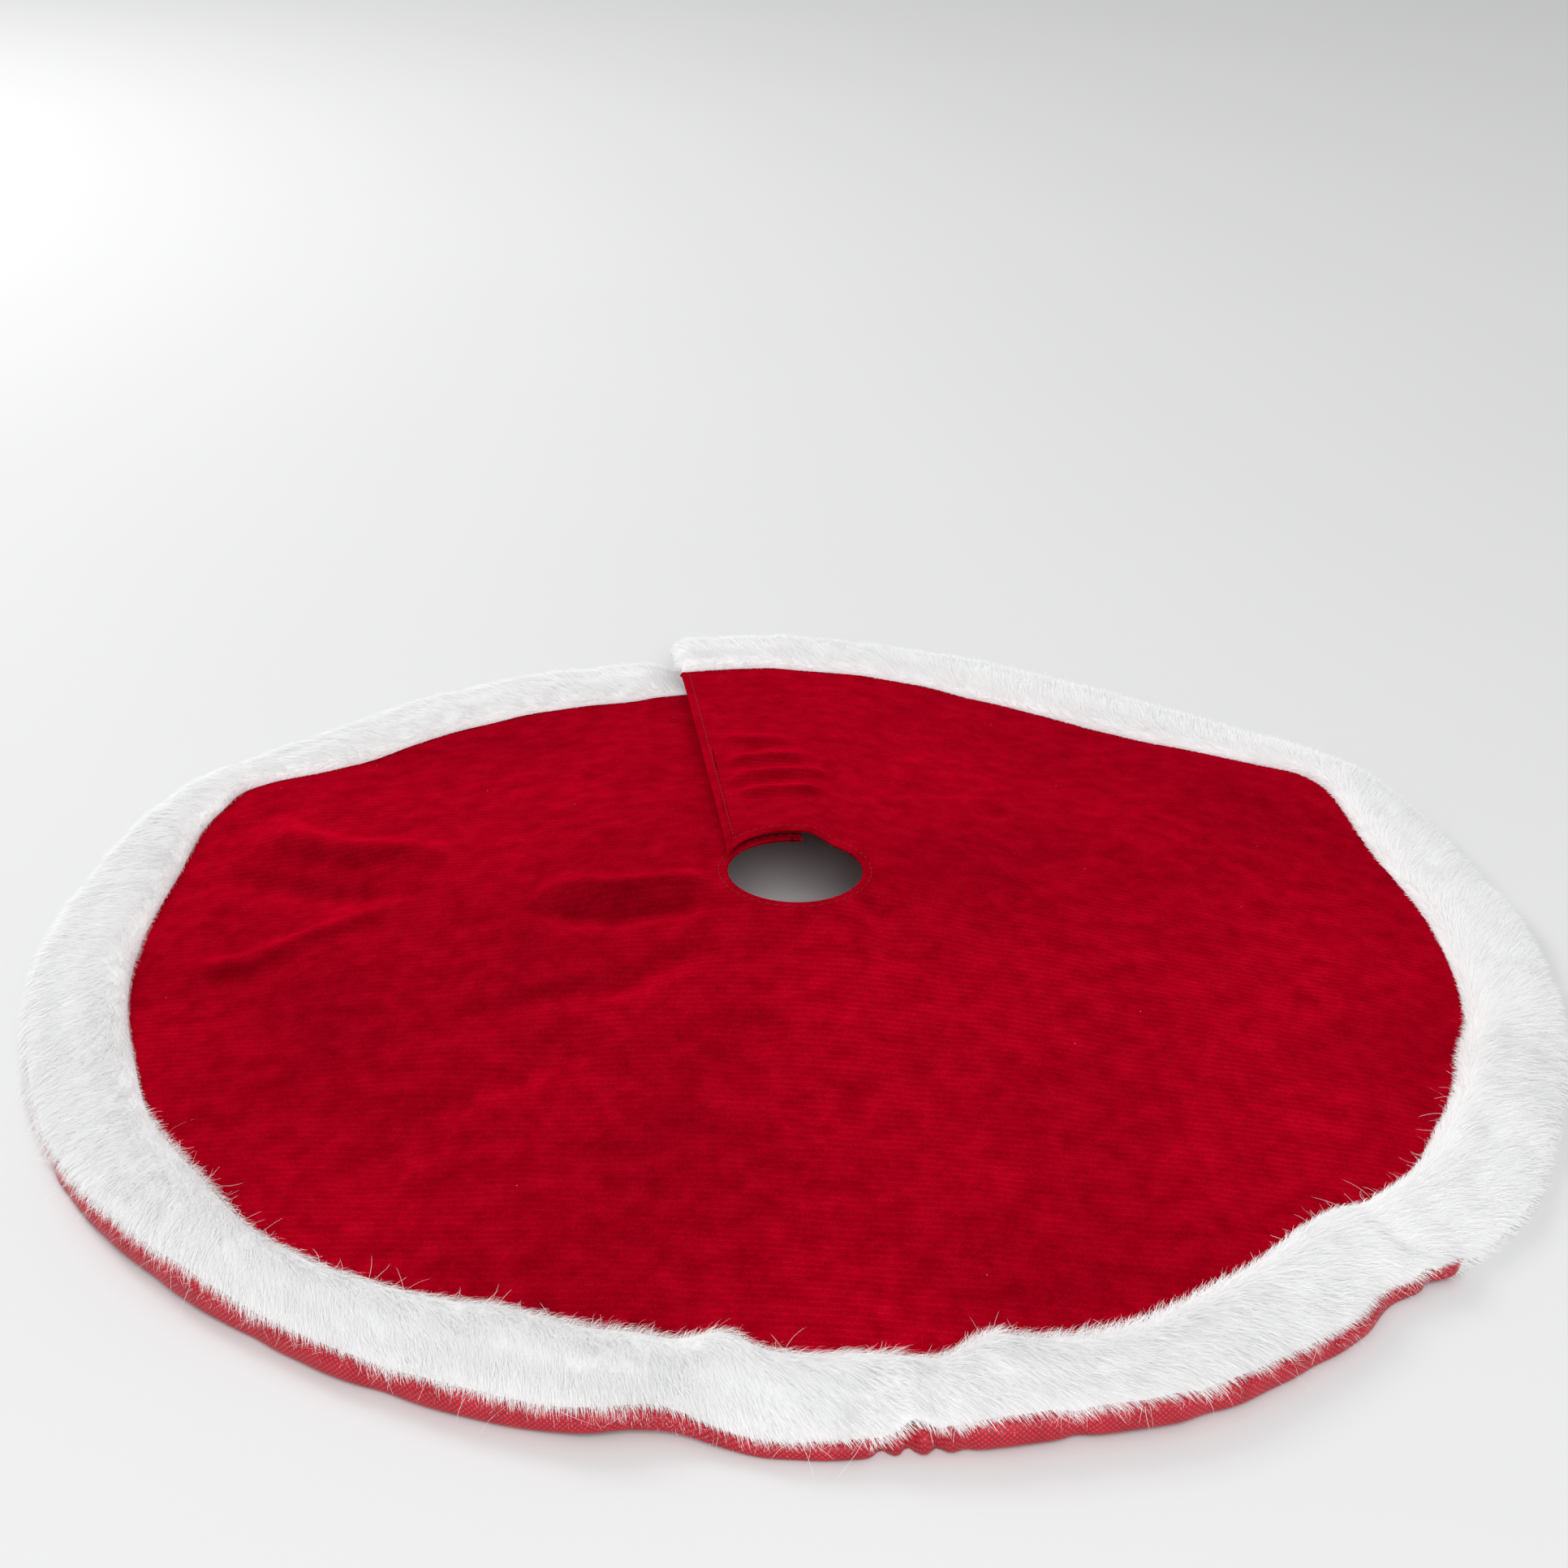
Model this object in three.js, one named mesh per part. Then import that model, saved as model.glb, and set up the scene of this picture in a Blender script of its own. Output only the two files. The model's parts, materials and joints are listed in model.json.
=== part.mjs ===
// Tree skirt for a small table-top Christmas tree: a round red velvet cloth with a hole for
// the trunk, a band of white long-pile fur round its edge and a red woven lining underneath.
// A slit runs from the hole to the back edge. The cloth on one side of it is a flap that lies
// over the other side and is held there by two hook-and-loop tabs. The cloth stands as a low
// tent: its middle rests on the tree's stand and its edge lies on the table.
//
// Millimetres, +Z up. The origin is on the table, below the middle of the hole. The slit is at
// the back (+Y). Azimuths are in degrees, counter-clockwise from +X, seen from above.
//
// Each cloth is a sheet bent over the tent: a box with many small faces whose corners are moved
// to their columns (azimuths), rows (radii) and heights.

import * as THREE from 'three';

// ---------------------------------------------------------------- driving dimensions

// Outline, seen from above.
const OUTER_RADIUS = 254;
const HOLE_RADIUS = 22.5;
const BAND_WIDTH = 32;

// Tent shape. The height is that of the lining's underside.
const HOLE_HEIGHT = 35;
const FOOT_WIDTH = 16;

// Cloth thicknesses, and the gap between two pieces that touch.
const LINING_THICKNESS = 1.2;
const VELVET_THICKNESS = 1.3;
const LAYER_GAP = 0.3;

// The lining's puffed edge, where the turned-in seam fills it out.
const ROLL_HEIGHT = 8.5;
const ROLL_HALF_WIDTH = 8;
const ROLL_INSET = 7;
const ROLL_EDGE_RISE = 0.8;

// The fur's pile: heights of its top above the table at its inner and outer edge, how much
// higher it stands between them, and its least height where the flap presses it down.
const FUR_INNER_TOP = 5.5;
const FUR_OUTER_TOP = 9.5;
const FUR_CROWN = 10;
const FUR_PRESSED = 3.6;
const FUR_EDGE_INSET = 1.4;

// The slit: its direction, how far the two cloth edges lie on either side of it, and the line
// along which the flap bends when it is lifted.
const SLIT_AZIMUTH = 96.7;
const OVER_EDGE_INSET = 0.5;
const UNDER_EDGE_OFFSET = 5;
const HINGE_AZIMUTH = 60;
const HINGE_GAP = 0.5;
const FLAP_CLEARANCE = 0.8;
const RAMP_CLEARANCE = 1.5;

// Hook-and-loop tabs, each with a row of stitches round it, and the care label.
const TAB_LENGTH = 22;
const TAB_WIDTH = 12;
const HOOK_THICKNESS = 0.8;
const LOOP_THICKNESS = 0.8;
const TAB_PLACES = [0.42, 0.76];
const TAB_STITCH_INSET = 1.8;
const LABEL_LENGTH = 18;
const LABEL_WIDTH = 24;
const LABEL_THICKNESS = 0.6;
const LABEL_PLACE = 0.59;

// Sewing thread and where its rows run.
const THREAD_DIAMETER = 0.5;
const TAB_THREAD_DIAMETER = 0.4;
const HEM_STITCH_INSET = 3;
const SEAM_WIDTH = 2.4;
const THREAD_GAP = 0.45;
const THREAD_SAG = 0.15;

// How finely the sheets are divided.
const PANEL_ROWS = 7;
const RIM_ROW_PLACES = [0.25, 0.5, 0.625, 0.75, 0.875, 1];
const SKIRT_COLUMNS = 52;
const OVERLAP_COLUMNS = 8;
const THREAD_SIDES = 5;

// ---------------------------------------------------------------- derived sizes

const BAND_RADIUS = OUTER_RADIUS - BAND_WIDTH;
const FOOT_RADIUS = OUTER_RADIUS - FOOT_WIDTH;
const ROLL_RADIUS = OUTER_RADIUS - ROLL_INSET;
const OVER_EDGE_OFFSET = HOLE_RADIUS - OVER_EDGE_INSET;
const PANEL_THICKNESS = LINING_THICKNESS + LAYER_GAP + VELVET_THICKNESS;
const LIFT_AT_HOLE = PANEL_THICKNESS + FLAP_CLEARANCE;
const LIFT_AT_RIM = ROLL_HEIGHT + LAYER_GAP + FUR_PRESSED + FLAP_CLEARANCE;
const FULL_TURN = 2 * Math.PI;

const radians = THREE.MathUtils.degToRad;
const lerp = THREE.MathUtils.lerp;
const smoothstep = THREE.MathUtils.smoothstep;

const slit = radians(SLIT_AZIMUTH);
const hinge = radians(HINGE_AZIMUTH);

// ---------------------------------------------------------------- heights of the layers

/** Height of the tent, which is the lining's underside, before the flap's lift. */
function tentHeight(radius) {
  const place = (FOOT_RADIUS - radius) / (FOOT_RADIUS - HOLE_RADIUS);
  return HOLE_HEIGHT * Math.max(0, place);
}

/** The lining's underside: flat on the table under the band, a little raised at the very edge. */
function liningUnder(radius) {
  const edge = smoothstep(radius, ROLL_RADIUS + ROLL_INSET / 2, OUTER_RADIUS);
  return tentHeight(radius) + ROLL_EDGE_RISE * edge;
}

/** The lining's upper side, with the puffed roll along the edge. */
function liningTop(radius) {
  const across = (radius - ROLL_RADIUS) / ROLL_HALF_WIDTH;
  const roll = ROLL_HEIGHT * (1 - across * across);
  return Math.max(tentHeight(radius) + LINING_THICKNESS, roll);
}

/** The underside of velvet or fur, which both lie on the lining. */
function upperLayerUnder(radius) {
  return liningTop(radius) + LAYER_GAP;
}

function velvetTop(radius) {
  return upperLayerUnder(radius) + VELVET_THICKNESS;
}

/** The top of the fur's pile: a low dome across the band. */
function furTop(radius) {
  const across = (radius - BAND_RADIUS) / BAND_WIDTH;
  const dome = Math.sqrt(Math.max(0, 4 * across * (1 - across)));
  return lerp(FUR_INNER_TOP, FUR_OUTER_TOP, across) + FUR_CROWN * dome;
}

/** How far the flap is raised at a radius where it lies on the other side of the slit. */
function fullLift(radius) {
  const along = (radius - HOLE_RADIUS) / (OUTER_RADIUS - HOLE_RADIUS);
  return lerp(LIFT_AT_HOLE, LIFT_AT_RIM, along);
}

/** Under the flap the pile is pressed down to the flap's underside. */
function pressedFurTop(radius) {
  return Math.min(furTop(radius), tentHeight(radius) + fullLift(radius) - LAYER_GAP);
}

// ---------------------------------------------------------------- columns of the sheets

/** Azimuth, at a radius, of a line parallel to the slit and offset to its left. */
function offsetAzimuth(radius, offset) {
  return slit + Math.asin(THREE.MathUtils.clamp(offset / radius, -1, 1));
}

const overEdge = (radius) => offsetAzimuth(radius, OVER_EDGE_OFFSET);
const underEdge = (radius) => offsetAzimuth(radius, -UNDER_EDGE_OFFSET);
const rampEnd = (radius) => offsetAzimuth(radius, -UNDER_EDGE_OFFSET - RAMP_CLEARANCE);
const pressedEnd = (radius) => overEdge(radius) + RAMP_CLEARANCE / radius;
const flapHinge = (radius) => hinge + HINGE_GAP / 2 / radius;
const skirtHinge = (radius) => hinge + FULL_TURN - HINGE_GAP / 2 / radius;

/** Columns that share the turn between edge lines, so many in each part. */
function columnsBetween(edges, counts) {
  const columns = [edges[0]];
  counts.forEach((count, part) => {
    for (let step = 1; step <= count; step += 1) {
      columns.push((radius) => lerp(edges[part](radius), edges[part + 1](radius), step / count));
    }
  });
  return columns;
}

const skirtColumns = columnsBetween(
  [underEdge, pressedEnd, skirtHinge],
  [OVERLAP_COLUMNS, SKIRT_COLUMNS],
);
const flapColumns = columnsBetween(
  [flapHinge, rampEnd, overEdge],
  [OVERLAP_COLUMNS, OVERLAP_COLUMNS],
);

/** The flap's lift: nothing at the hinge line, full where the other side begins under it. */
function flapLift(radius, azimuth) {
  return fullLift(radius) * smoothstep(azimuth, flapHinge(radius), rampEnd(radius));
}

const noLift = () => 0;

// ---------------------------------------------------------------- rows of the sheets

/** Radii from the hole outwards, closer together where the sheets turn faster. */
function panelRadii(outer) {
  const radii = [];
  for (let row = 0; row <= PANEL_ROWS; row += 1) {
    radii.push(HOLE_RADIUS * (outer / HOLE_RADIUS) ** (row / PANEL_ROWS));
  }
  return radii;
}

const rimRadii = RIM_ROW_PLACES.map((place) => BAND_RADIUS + BAND_WIDTH * place);
const velvetRadii = panelRadii(BAND_RADIUS - SEAM_WIDTH / 2);
const liningRadii = [...panelRadii(BAND_RADIUS - SEAM_WIDTH / 2), ...rimRadii];
const furRadii = [
  BAND_RADIUS + SEAM_WIDTH / 2,
  ...rimRadii.slice(0, -1),
  OUTER_RADIUS - FUR_EDGE_INSET,
];

// ---------------------------------------------------------------- shape makers

/**
 * A closed sheet. placeAt(column, row) gives a corner's plan point, and underAt and overAt give
 * the heights of the sheet's two sides there.
 */
function bentSheet(columnCount, rowCount, placeAt, underAt, overAt) {
  const geometry = new THREE.BoxGeometry(1, 1, 1, columnCount, rowCount, 1);
  const corners = geometry.attributes.position;
  for (let index = 0; index < corners.count; index += 1) {
    const column = Math.round((0.5 - corners.getX(index)) * columnCount);
    const row = Math.round((corners.getY(index) + 0.5) * rowCount);
    const place = placeAt(column, row);
    const heightAt = corners.getZ(index) > 0 ? overAt : underAt;
    corners.setXYZ(index, place.x, place.y, heightAt(place, column));
  }
  geometry.computeVertexNormals();
  return geometry;
}

/** A sheet round the tree: columns are azimuths and rows are radii. */
function roundSheet(columns, radii, lift, under, over) {
  const placeAt = (column, row) => {
    const radius = radii[row];
    const azimuth = columns[column](radius);
    return {
      radius,
      azimuth,
      x: radius * Math.cos(azimuth),
      y: radius * Math.sin(azimuth),
    };
  };
  const raised = (height) => (place, column) => (
    height(place.radius, column) + lift(place.radius, place.azimuth)
  );
  return bentSheet(columns.length - 1, radii.length - 1, placeAt, raised(under), raised(over));
}

/** The plan point at a distance along the slit and an offset to its left. */
function slitPlace(along, offset) {
  return {
    radius: Math.hypot(along, offset),
    azimuth: slit + Math.atan2(offset, along),
    x: along * Math.cos(slit) - offset * Math.sin(slit),
    y: along * Math.sin(slit) + offset * Math.cos(slit),
  };
}

/** A small rectangular sheet that lies along the slit, centred at a distance and an offset. */
function slitPatch(along, offset, length, width, underAt, thickness) {
  const steps = 2;
  const placeAt = (column, row) => slitPlace(
    along + length * (row / steps - 0.5),
    offset + width * (0.5 - column / steps),
  );
  const mirrored = (column, row) => placeAt(steps - column, row);
  const overAt = (place) => underAt(place) + thickness;
  return bentSheet(steps, steps, mirrored, underAt, overAt);
}

/** Thread: a thin rod along a smooth path through the points. */
function threadAlong(points, diameter) {
  const outline = new THREE.Shape();
  for (let side = 0; side < THREAD_SIDES; side += 1) {
    const turn = (side / THREAD_SIDES) * FULL_TURN;
    const point = [(diameter / 2) * Math.cos(turn), (diameter / 2) * Math.sin(turn)];
    if (side === 0) {
      outline.moveTo(...point);
    } else {
      outline.lineTo(...point);
    }
  }
  const path = new THREE.CatmullRomCurve3(points);
  return new THREE.ExtrudeGeometry(outline, { steps: points.length - 1, extrudePath: path });
}

/** Thread round the tree at one radius, between two azimuths, at a height above the table. */
function roundThread(radius, from, to, steps, heightAt) {
  const points = [];
  for (let step = 0; step <= steps; step += 1) {
    const azimuth = lerp(from, to, step / steps);
    const x = radius * Math.cos(azimuth);
    const y = radius * Math.sin(azimuth);
    points.push(new THREE.Vector3(x, y, heightAt(radius, azimuth)));
  }
  return threadAlong(points, THREAD_DIAMETER);
}

/** Thread along the slit at an offset, on the velvet. */
function slitThread(offset, lift) {
  const steps = 16;
  const first = Math.sqrt((HOLE_RADIUS + HEM_STITCH_INSET * 2) ** 2 - offset * offset);
  const last = BAND_RADIUS - SEAM_WIDTH * 2;
  const points = [];
  for (let step = 0; step <= steps; step += 1) {
    const place = slitPlace(lerp(first, last, (step / steps) ** 1.5), offset);
    const height = velvetTop(place.radius) + lift(place.radius, place.azimuth);
    points.push(new THREE.Vector3(place.x, place.y, height + THREAD_GAP));
  }
  return threadAlong(points, THREAD_DIAMETER);
}

/** One row of stitches round a tab: it starts and ends at the same corner, a stitch apart. */
function tabThread(along, offset, heightAt) {
  const reachAlong = TAB_LENGTH / 2 - TAB_STITCH_INSET;
  const reachAcross = TAB_WIDTH / 2 - TAB_STITCH_INSET;
  const stops = [
    [-1, 0.6], [-1, -1], [0, -1], [1, -1], [1, 0], [1, 1], [0, 1], [-0.7, 1],
  ];
  const points = stops.map(([stepAlong, stepAcross]) => {
    const place = slitPlace(along + reachAlong * stepAlong, offset + reachAcross * stepAcross);
    return new THREE.Vector3(place.x, place.y, heightAt(place));
  });
  return threadAlong(points, TAB_THREAD_DIAMETER);
}

// ---------------------------------------------------------------- materials

const cloth = (color, roughness) => new THREE.MeshStandardMaterial({
  color,
  roughness,
  metalness: 0,
});

const materials = {
  velvet: cloth(0x9a0418, 0.9),
  fur: cloth(0xe8e8e6, 1),
  lining: cloth(0xa82c38, 0.85),
  thread: cloth(0x8c1420, 0.7),
  whiteThread: cloth(0xe4e2de, 0.7),
  hook: cloth(0x2c2c2e, 0.6),
  loop: cloth(0x343436, 0.95),
  label: cloth(0xf0f0ec, 0.5),
};

const skirt = new THREE.Group();
const flap = new THREE.Group();

function addPiece(group, name, geometry, material) {
  const piece = new THREE.Mesh(geometry, material);
  piece.name = name;
  group.add(piece);
}

// ---------------------------------------------------------------- the cloths

/** The skirt's fur, pressed down in the columns that the flap covers. */
function skirtFurTop(radius, column) {
  return column <= OVERLAP_COLUMNS ? pressedFurTop(radius) : furTop(radius);
}

function addCloths(group, suffix, columns, lift, topOfFur) {
  addPiece(
    group,
    `velvet_${suffix}`,
    roundSheet(columns, velvetRadii, lift, upperLayerUnder, velvetTop),
    materials.velvet,
  );
  addPiece(
    group,
    `lining_${suffix}`,
    roundSheet(columns, liningRadii, lift, liningUnder, liningTop),
    materials.lining,
  );
  addPiece(
    group,
    `fur_band_${suffix}`,
    roundSheet(columns, furRadii, lift, upperLayerUnder, topOfFur),
    materials.fur,
  );
}

addCloths(skirt, 'skirt', skirtColumns, noLift, skirtFurTop);
addCloths(flap, 'flap', flapColumns, flapLift, furTop);

// ---------------------------------------------------------------- the seams

/** The turn in which a straight piece of thread leaves its circle by no more than the sag. */
function sagStep(radius) {
  return 2 * Math.acos(1 - THREAD_SAG / radius);
}

/** The rows of thread that run round the tree: hem at the hole, band seam and rim seam. */
function addRoundSeams(group, suffix, edges, largestStep, lift) {
  const seams = [
    ['hole_stitching', HOLE_RADIUS + HEM_STITCH_INSET, velvetTop, materials.thread],
    ['band_seam', BAND_RADIUS, liningTop, materials.whiteThread],
    ['rim_seam', OUTER_RADIUS - FUR_EDGE_INSET / 2, liningTop, materials.thread],
  ];
  seams.forEach(([name, radius, surface, material]) => {
    const margin = HEM_STITCH_INSET / radius;
    const from = edges.from(radius) + margin;
    const to = edges.to(radius) - margin;
    const steps = Math.ceil((to - from) / Math.min(sagStep(radius), largestStep));
    const heightAt = (at, azimuth) => surface(at) + lift(at, azimuth) + THREAD_GAP;
    addPiece(
      group,
      `${name}_${suffix}`,
      roundThread(radius, from, to, steps, heightAt),
      material,
    );
  });
}

const flapStep = FULL_TURN / SKIRT_COLUMNS / 2;
addRoundSeams(skirt, 'skirt', { from: underEdge, to: skirtHinge }, FULL_TURN, noLift);
addRoundSeams(flap, 'flap', { from: flapHinge, to: overEdge }, flapStep, flapLift);

addPiece(
  skirt,
  'slit_stitching_skirt',
  slitThread(HEM_STITCH_INSET - UNDER_EDGE_OFFSET, noLift),
  materials.thread,
);
addPiece(
  flap,
  'slit_stitching_flap',
  slitThread(OVER_EDGE_OFFSET - HEM_STITCH_INSET, flapLift),
  materials.thread,
);

// ---------------------------------------------------------------- closure and label

const panelLength = BAND_RADIUS - HOLE_RADIUS;
const overlapMiddle = (OVER_EDGE_OFFSET - UNDER_EDGE_OFFSET) / 2;

const loopUnder = (place) => velvetTop(place.radius) + LAYER_GAP;
const flapUnderside = (place) => tentHeight(place.radius) + fullLift(place.radius);
const hookUnder = (place) => flapUnderside(place) - LAYER_GAP - HOOK_THICKNESS;
const stitchReach = TAB_THREAD_DIAMETER / 2 + LAYER_GAP;

TAB_PLACES.forEach((share, index) => {
  const along = HOLE_RADIUS + share * panelLength;
  const name = ['inner', 'outer'][index];
  addPiece(
    skirt,
    `loop_tab_${name}`,
    slitPatch(along, overlapMiddle, TAB_LENGTH, TAB_WIDTH, loopUnder, LOOP_THICKNESS),
    materials.loop,
  );
  addPiece(
    skirt,
    `loop_tab_stitching_${name}`,
    tabThread(along, overlapMiddle, (place) => loopUnder(place) + LOOP_THICKNESS + stitchReach),
    materials.thread,
  );
  addPiece(
    flap,
    `hook_tab_${name}`,
    slitPatch(along, overlapMiddle, TAB_LENGTH, TAB_WIDTH, hookUnder, HOOK_THICKNESS),
    materials.hook,
  );
  addPiece(
    flap,
    `hook_tab_stitching_${name}`,
    tabThread(along, overlapMiddle, (place) => hookUnder(place) - stitchReach),
    materials.thread,
  );
});

addPiece(
  skirt,
  'care_label',
  slitPatch(
    HOLE_RADIUS + LABEL_PLACE * panelLength,
    LABEL_WIDTH / 2 - UNDER_EDGE_OFFSET,
    LABEL_LENGTH,
    LABEL_WIDTH,
    (place) => tentHeight(place.radius) - LAYER_GAP - LABEL_THICKNESS,
    LABEL_THICKNESS,
  ),
  materials.label,
);

const treeSkirt = new THREE.Group();
treeSkirt.add(skirt, flap);

export default treeSkirt;
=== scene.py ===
"""Looks of a table-top tree skirt: red velvet, white fur band, red woven lining, sewn and slit.

All lengths are in millimetres until a mesh is made, and azimuths are in radians,
counter-clockwise from +X. The slit is at the back (+Y).
"""

import json
import math

import bpy
import numpy as np
from mathutils import Matrix, Vector


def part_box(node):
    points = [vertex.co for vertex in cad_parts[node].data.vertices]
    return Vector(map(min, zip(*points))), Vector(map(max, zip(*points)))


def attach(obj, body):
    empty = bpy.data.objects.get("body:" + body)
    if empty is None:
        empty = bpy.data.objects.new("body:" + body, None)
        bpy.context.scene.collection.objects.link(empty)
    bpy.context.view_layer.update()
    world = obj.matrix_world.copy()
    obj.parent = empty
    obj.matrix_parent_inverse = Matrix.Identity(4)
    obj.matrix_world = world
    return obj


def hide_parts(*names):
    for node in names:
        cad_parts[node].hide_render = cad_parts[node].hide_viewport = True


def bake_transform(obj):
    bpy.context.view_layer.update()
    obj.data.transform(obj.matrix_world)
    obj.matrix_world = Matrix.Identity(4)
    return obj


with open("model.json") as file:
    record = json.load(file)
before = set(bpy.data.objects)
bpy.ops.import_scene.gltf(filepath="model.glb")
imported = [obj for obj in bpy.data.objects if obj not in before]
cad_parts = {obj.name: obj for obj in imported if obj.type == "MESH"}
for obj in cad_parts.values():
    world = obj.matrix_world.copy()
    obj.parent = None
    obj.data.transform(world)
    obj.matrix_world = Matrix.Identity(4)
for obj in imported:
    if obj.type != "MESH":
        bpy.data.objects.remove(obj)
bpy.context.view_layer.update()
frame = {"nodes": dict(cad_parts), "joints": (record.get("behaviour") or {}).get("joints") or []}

MM = 0.001
TURN = 2 * math.pi
UP = np.array([0.0, 0.0, 1.0])

# ---------------------------------------------------------------- sizes read from the frame


def node_points(node):
    """The vertices of a CAD node, in millimetres."""
    mesh = frame["nodes"][node].data
    flat = np.empty(len(mesh.vertices) * 3)
    mesh.vertices.foreach_get("co", flat)
    return flat.reshape(-1, 3) / MM


def plan_radii(node):
    """Smallest and largest distance of a CAD node's vertices from the trunk's axis."""
    points = node_points(node)
    radii = np.hypot(points[:, 0], points[:, 1])
    return radii.min(), radii.max()


def heights(node):
    """Lowest and highest point of a CAD node."""
    low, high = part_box(node)
    return low[2] / MM, high[2] / MM


HOLE, VELVET_EDGE = plan_radii("velvet_skirt")
FUR_EDGE = plan_radii("fur_band_skirt")[0]
RIM = plan_radii("lining_skirt")[1]
SEAM = (VELVET_EDGE + FUR_EDGE) / 2
BAND = RIM - SEAM
# The velvet's own thickness, and from the velvet's upper side to the lining's underside.
VELVET_THICKNESS = 1.3
PANEL_THICKNESS = 2.8
VELVET_BOTTOM, VELVET_TOP = heights("velvet_skirt")
SLOPE = (VELVET_TOP - VELVET_BOTTOM - VELVET_THICKNESS) / (VELVET_EDGE - HOLE)
# How far the flap lies above the cloth below it.
LIFT_AT_HOLE = heights("velvet_flap")[1] - VELVET_TOP
LIFT_AT_RIM = heights("fur_band_flap")[1] - heights("fur_band_skirt")[1]
LIFT_AT_MOST = 10.0

hinge = frame["joints"][0]
hinge_axis = Vector(hinge["axis"])
HINGE = math.atan2(hinge_axis.y, hinge_axis.x)
# The slit's azimuth, and how far left of its line the flap's edge and the under-lap's edge lie.
SLIT = math.radians(96.7)
OVER_OFFSET = HOLE - 0.5
UNDER_OFFSET = -5.0
# Where each cloth is divided into its skirt part and its flap part.
SPLIT = math.radians(20)

# ---------------------------------------------------------------- small helpers


def smoothstep(value, start, end):
    """0 before start, 1 past end, and a smooth rise between them."""
    t = np.clip((value - start) / (end - start), 0, 1)
    return t * t * (3 - 2 * t)


def window(value, rises, falls):
    """1 between two ranges, with a smooth rise over the first and a smooth fall over the second."""
    return smoothstep(value, *rises) * (1 - smoothstep(value, *falls))


def plan(azimuth, radius):
    """Plan coordinates of points round the trunk's axis."""
    return radius * np.cos(azimuth), radius * np.sin(azimuth)


def points_at(azimuth, radius, height):
    """Points round the trunk's axis."""
    return np.stack([*plan(azimuth, radius), height], axis=-1)


def hills(x, y, size, seed, count=8):
    """Smooth random heights, about -1 to 1, of hills about `size` across."""
    rng = np.random.default_rng(seed)
    total = np.zeros(np.broadcast(x, y).shape)
    for _ in range(count):
        heading = rng.uniform(0, TURN)
        wavelength = size * rng.uniform(1.4, 2.8)
        phase = rng.uniform(0, TURN)
        total += np.sin(TURN * (x * math.cos(heading) + y * math.sin(heading)) / wavelength + phase)
    return total / math.sqrt(count * 1.6)


def ring_hills(azimuth, across, size, seed):
    """Hills round the band, across being mm outwards from the seam's circle."""
    return hills(*plan(azimuth, SEAM + across), size, seed)


def layers(field, first, second, sizes):
    """Sum of a field of hills at several sizes, each (height, size, seed)."""
    return sum(height * field(first, second, size, seed) for height, size, seed in sizes)


def bumps_at(azimuth, bumps):
    """Sum of smooth bumps round the skirt, each (azimuth, half width, height), in degrees and mm."""
    total = np.zeros(np.shape(azimuth))
    for place, width, height in bumps:
        apart = (azimuth - math.radians(place) + math.pi) % TURN - math.pi
        total += height * np.exp(-(apart / math.radians(width)) ** 2)
    return total


def distance_to_line(x, y, points):
    """Distance of plan points to a line through a few points, and the share of its length there."""
    best = np.full(np.shape(x), np.inf)
    place = np.zeros(np.shape(x))
    steps = len(points) - 1
    for index in range(steps):
        (x0, y0), (x1, y1) = points[index], points[index + 1]
        along = np.array([x1 - x0, y1 - y0])
        length = np.hypot(*along)
        t = np.clip(((x - x0) * along[0] + (y - y0) * along[1]) / length**2, 0, 1)
        away = np.hypot(x - x0 - t * along[0], y - y0 - t * along[1])
        nearer = away < best
        best = np.where(nearer, away, best)
        place = np.where(nearer, (index + t) / steps, place)
    return best, place


def polar(radius, degrees):
    """Plan point at a radius and an azimuth in degrees."""
    angle = math.radians(degrees)
    return radius * math.cos(angle), radius * math.sin(angle)


def on_slit(along, offset):
    """Plan point at a distance along the slit and an offset to its left."""
    return (
        along * math.cos(SLIT) - offset * math.sin(SLIT),
        along * math.sin(SLIT) + offset * math.cos(SLIT),
    )


# ---------------------------------------------------------------- shape of the whole skirt

# Bumps round the skirt: azimuth and half width in degrees, height in mm.
# Where the rim and the seam leave their circles.
RIM_BUMPS = [
    (-97.5, 4, -7), (-66, 7, 5), (-48, 3.2, -6), (-33, 8, 5), (5, 14, 2), (29, 9, 8),
    (38, 9, 5), (90, 34, -7), (138, 9, -3), (154, 10, 5),
]
SEAM_BUMPS = [
    (-95, 2.4, -6), (-104, 7, -4), (-104, 3, 2), (-112, 3, -2.5), (-129, 12, 6), (-132, 3, 1.2),
    (-150, 7, 2), (-160, 8, -1.2), (-88, 3, 1.5), (-80.5, 2.6, 4.5), (-75.5, 1.8, -3.5),
    (-66, 7, 5), (-48, 4.5, -4), (-44, 2.5, -1.8), (-35, 6, 3), (-15, 9, 2), (-16, 4, -2.8),
    (35, 6, 7), (32, 10, 9), (72, 20, -12), (110, 22, -12), (138, 9, -5), (150.5, 3.5, 8),
    (156.5, 8, 10), (184, 12, -1.5),
]
# Height of the lining's roll where the fur hides it, where it shows, and where it is puffed up.
ROLL_LEAST = 1.2
ROLL_WHERE_SHOWN = 2.0
ROLL_BUMPS = [(-133, 16, 5.4), (-109, 11, 4.4), (-80, 9, 4.6), (-68, 9, 4), (-56, 8, 2.0)]
# Where the rim stands off the table.
RIM_LIFTS = [(-102, 4.5, 2.0), (-70, 7, 0.7), (-44.5, 2.4, 2.0), (-140, 8, 0.6)]
# Where the back corners of the velvet are pushed up.
CORNER_LIFTS = [(35, 11, 6), (152, 9, 4)]
# Where a gather draws the fur's outer edge up.
FUR_DROOPS = [(-82.6, 1.0, -2.4), (-44.4, 0.9, -1.4)]
# How far the rim is drawn in all round, and how far the puffed roll stands out at the front.
RIM_DRAWN_IN = 2
FRONT_FULLNESS = 5.6
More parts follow.
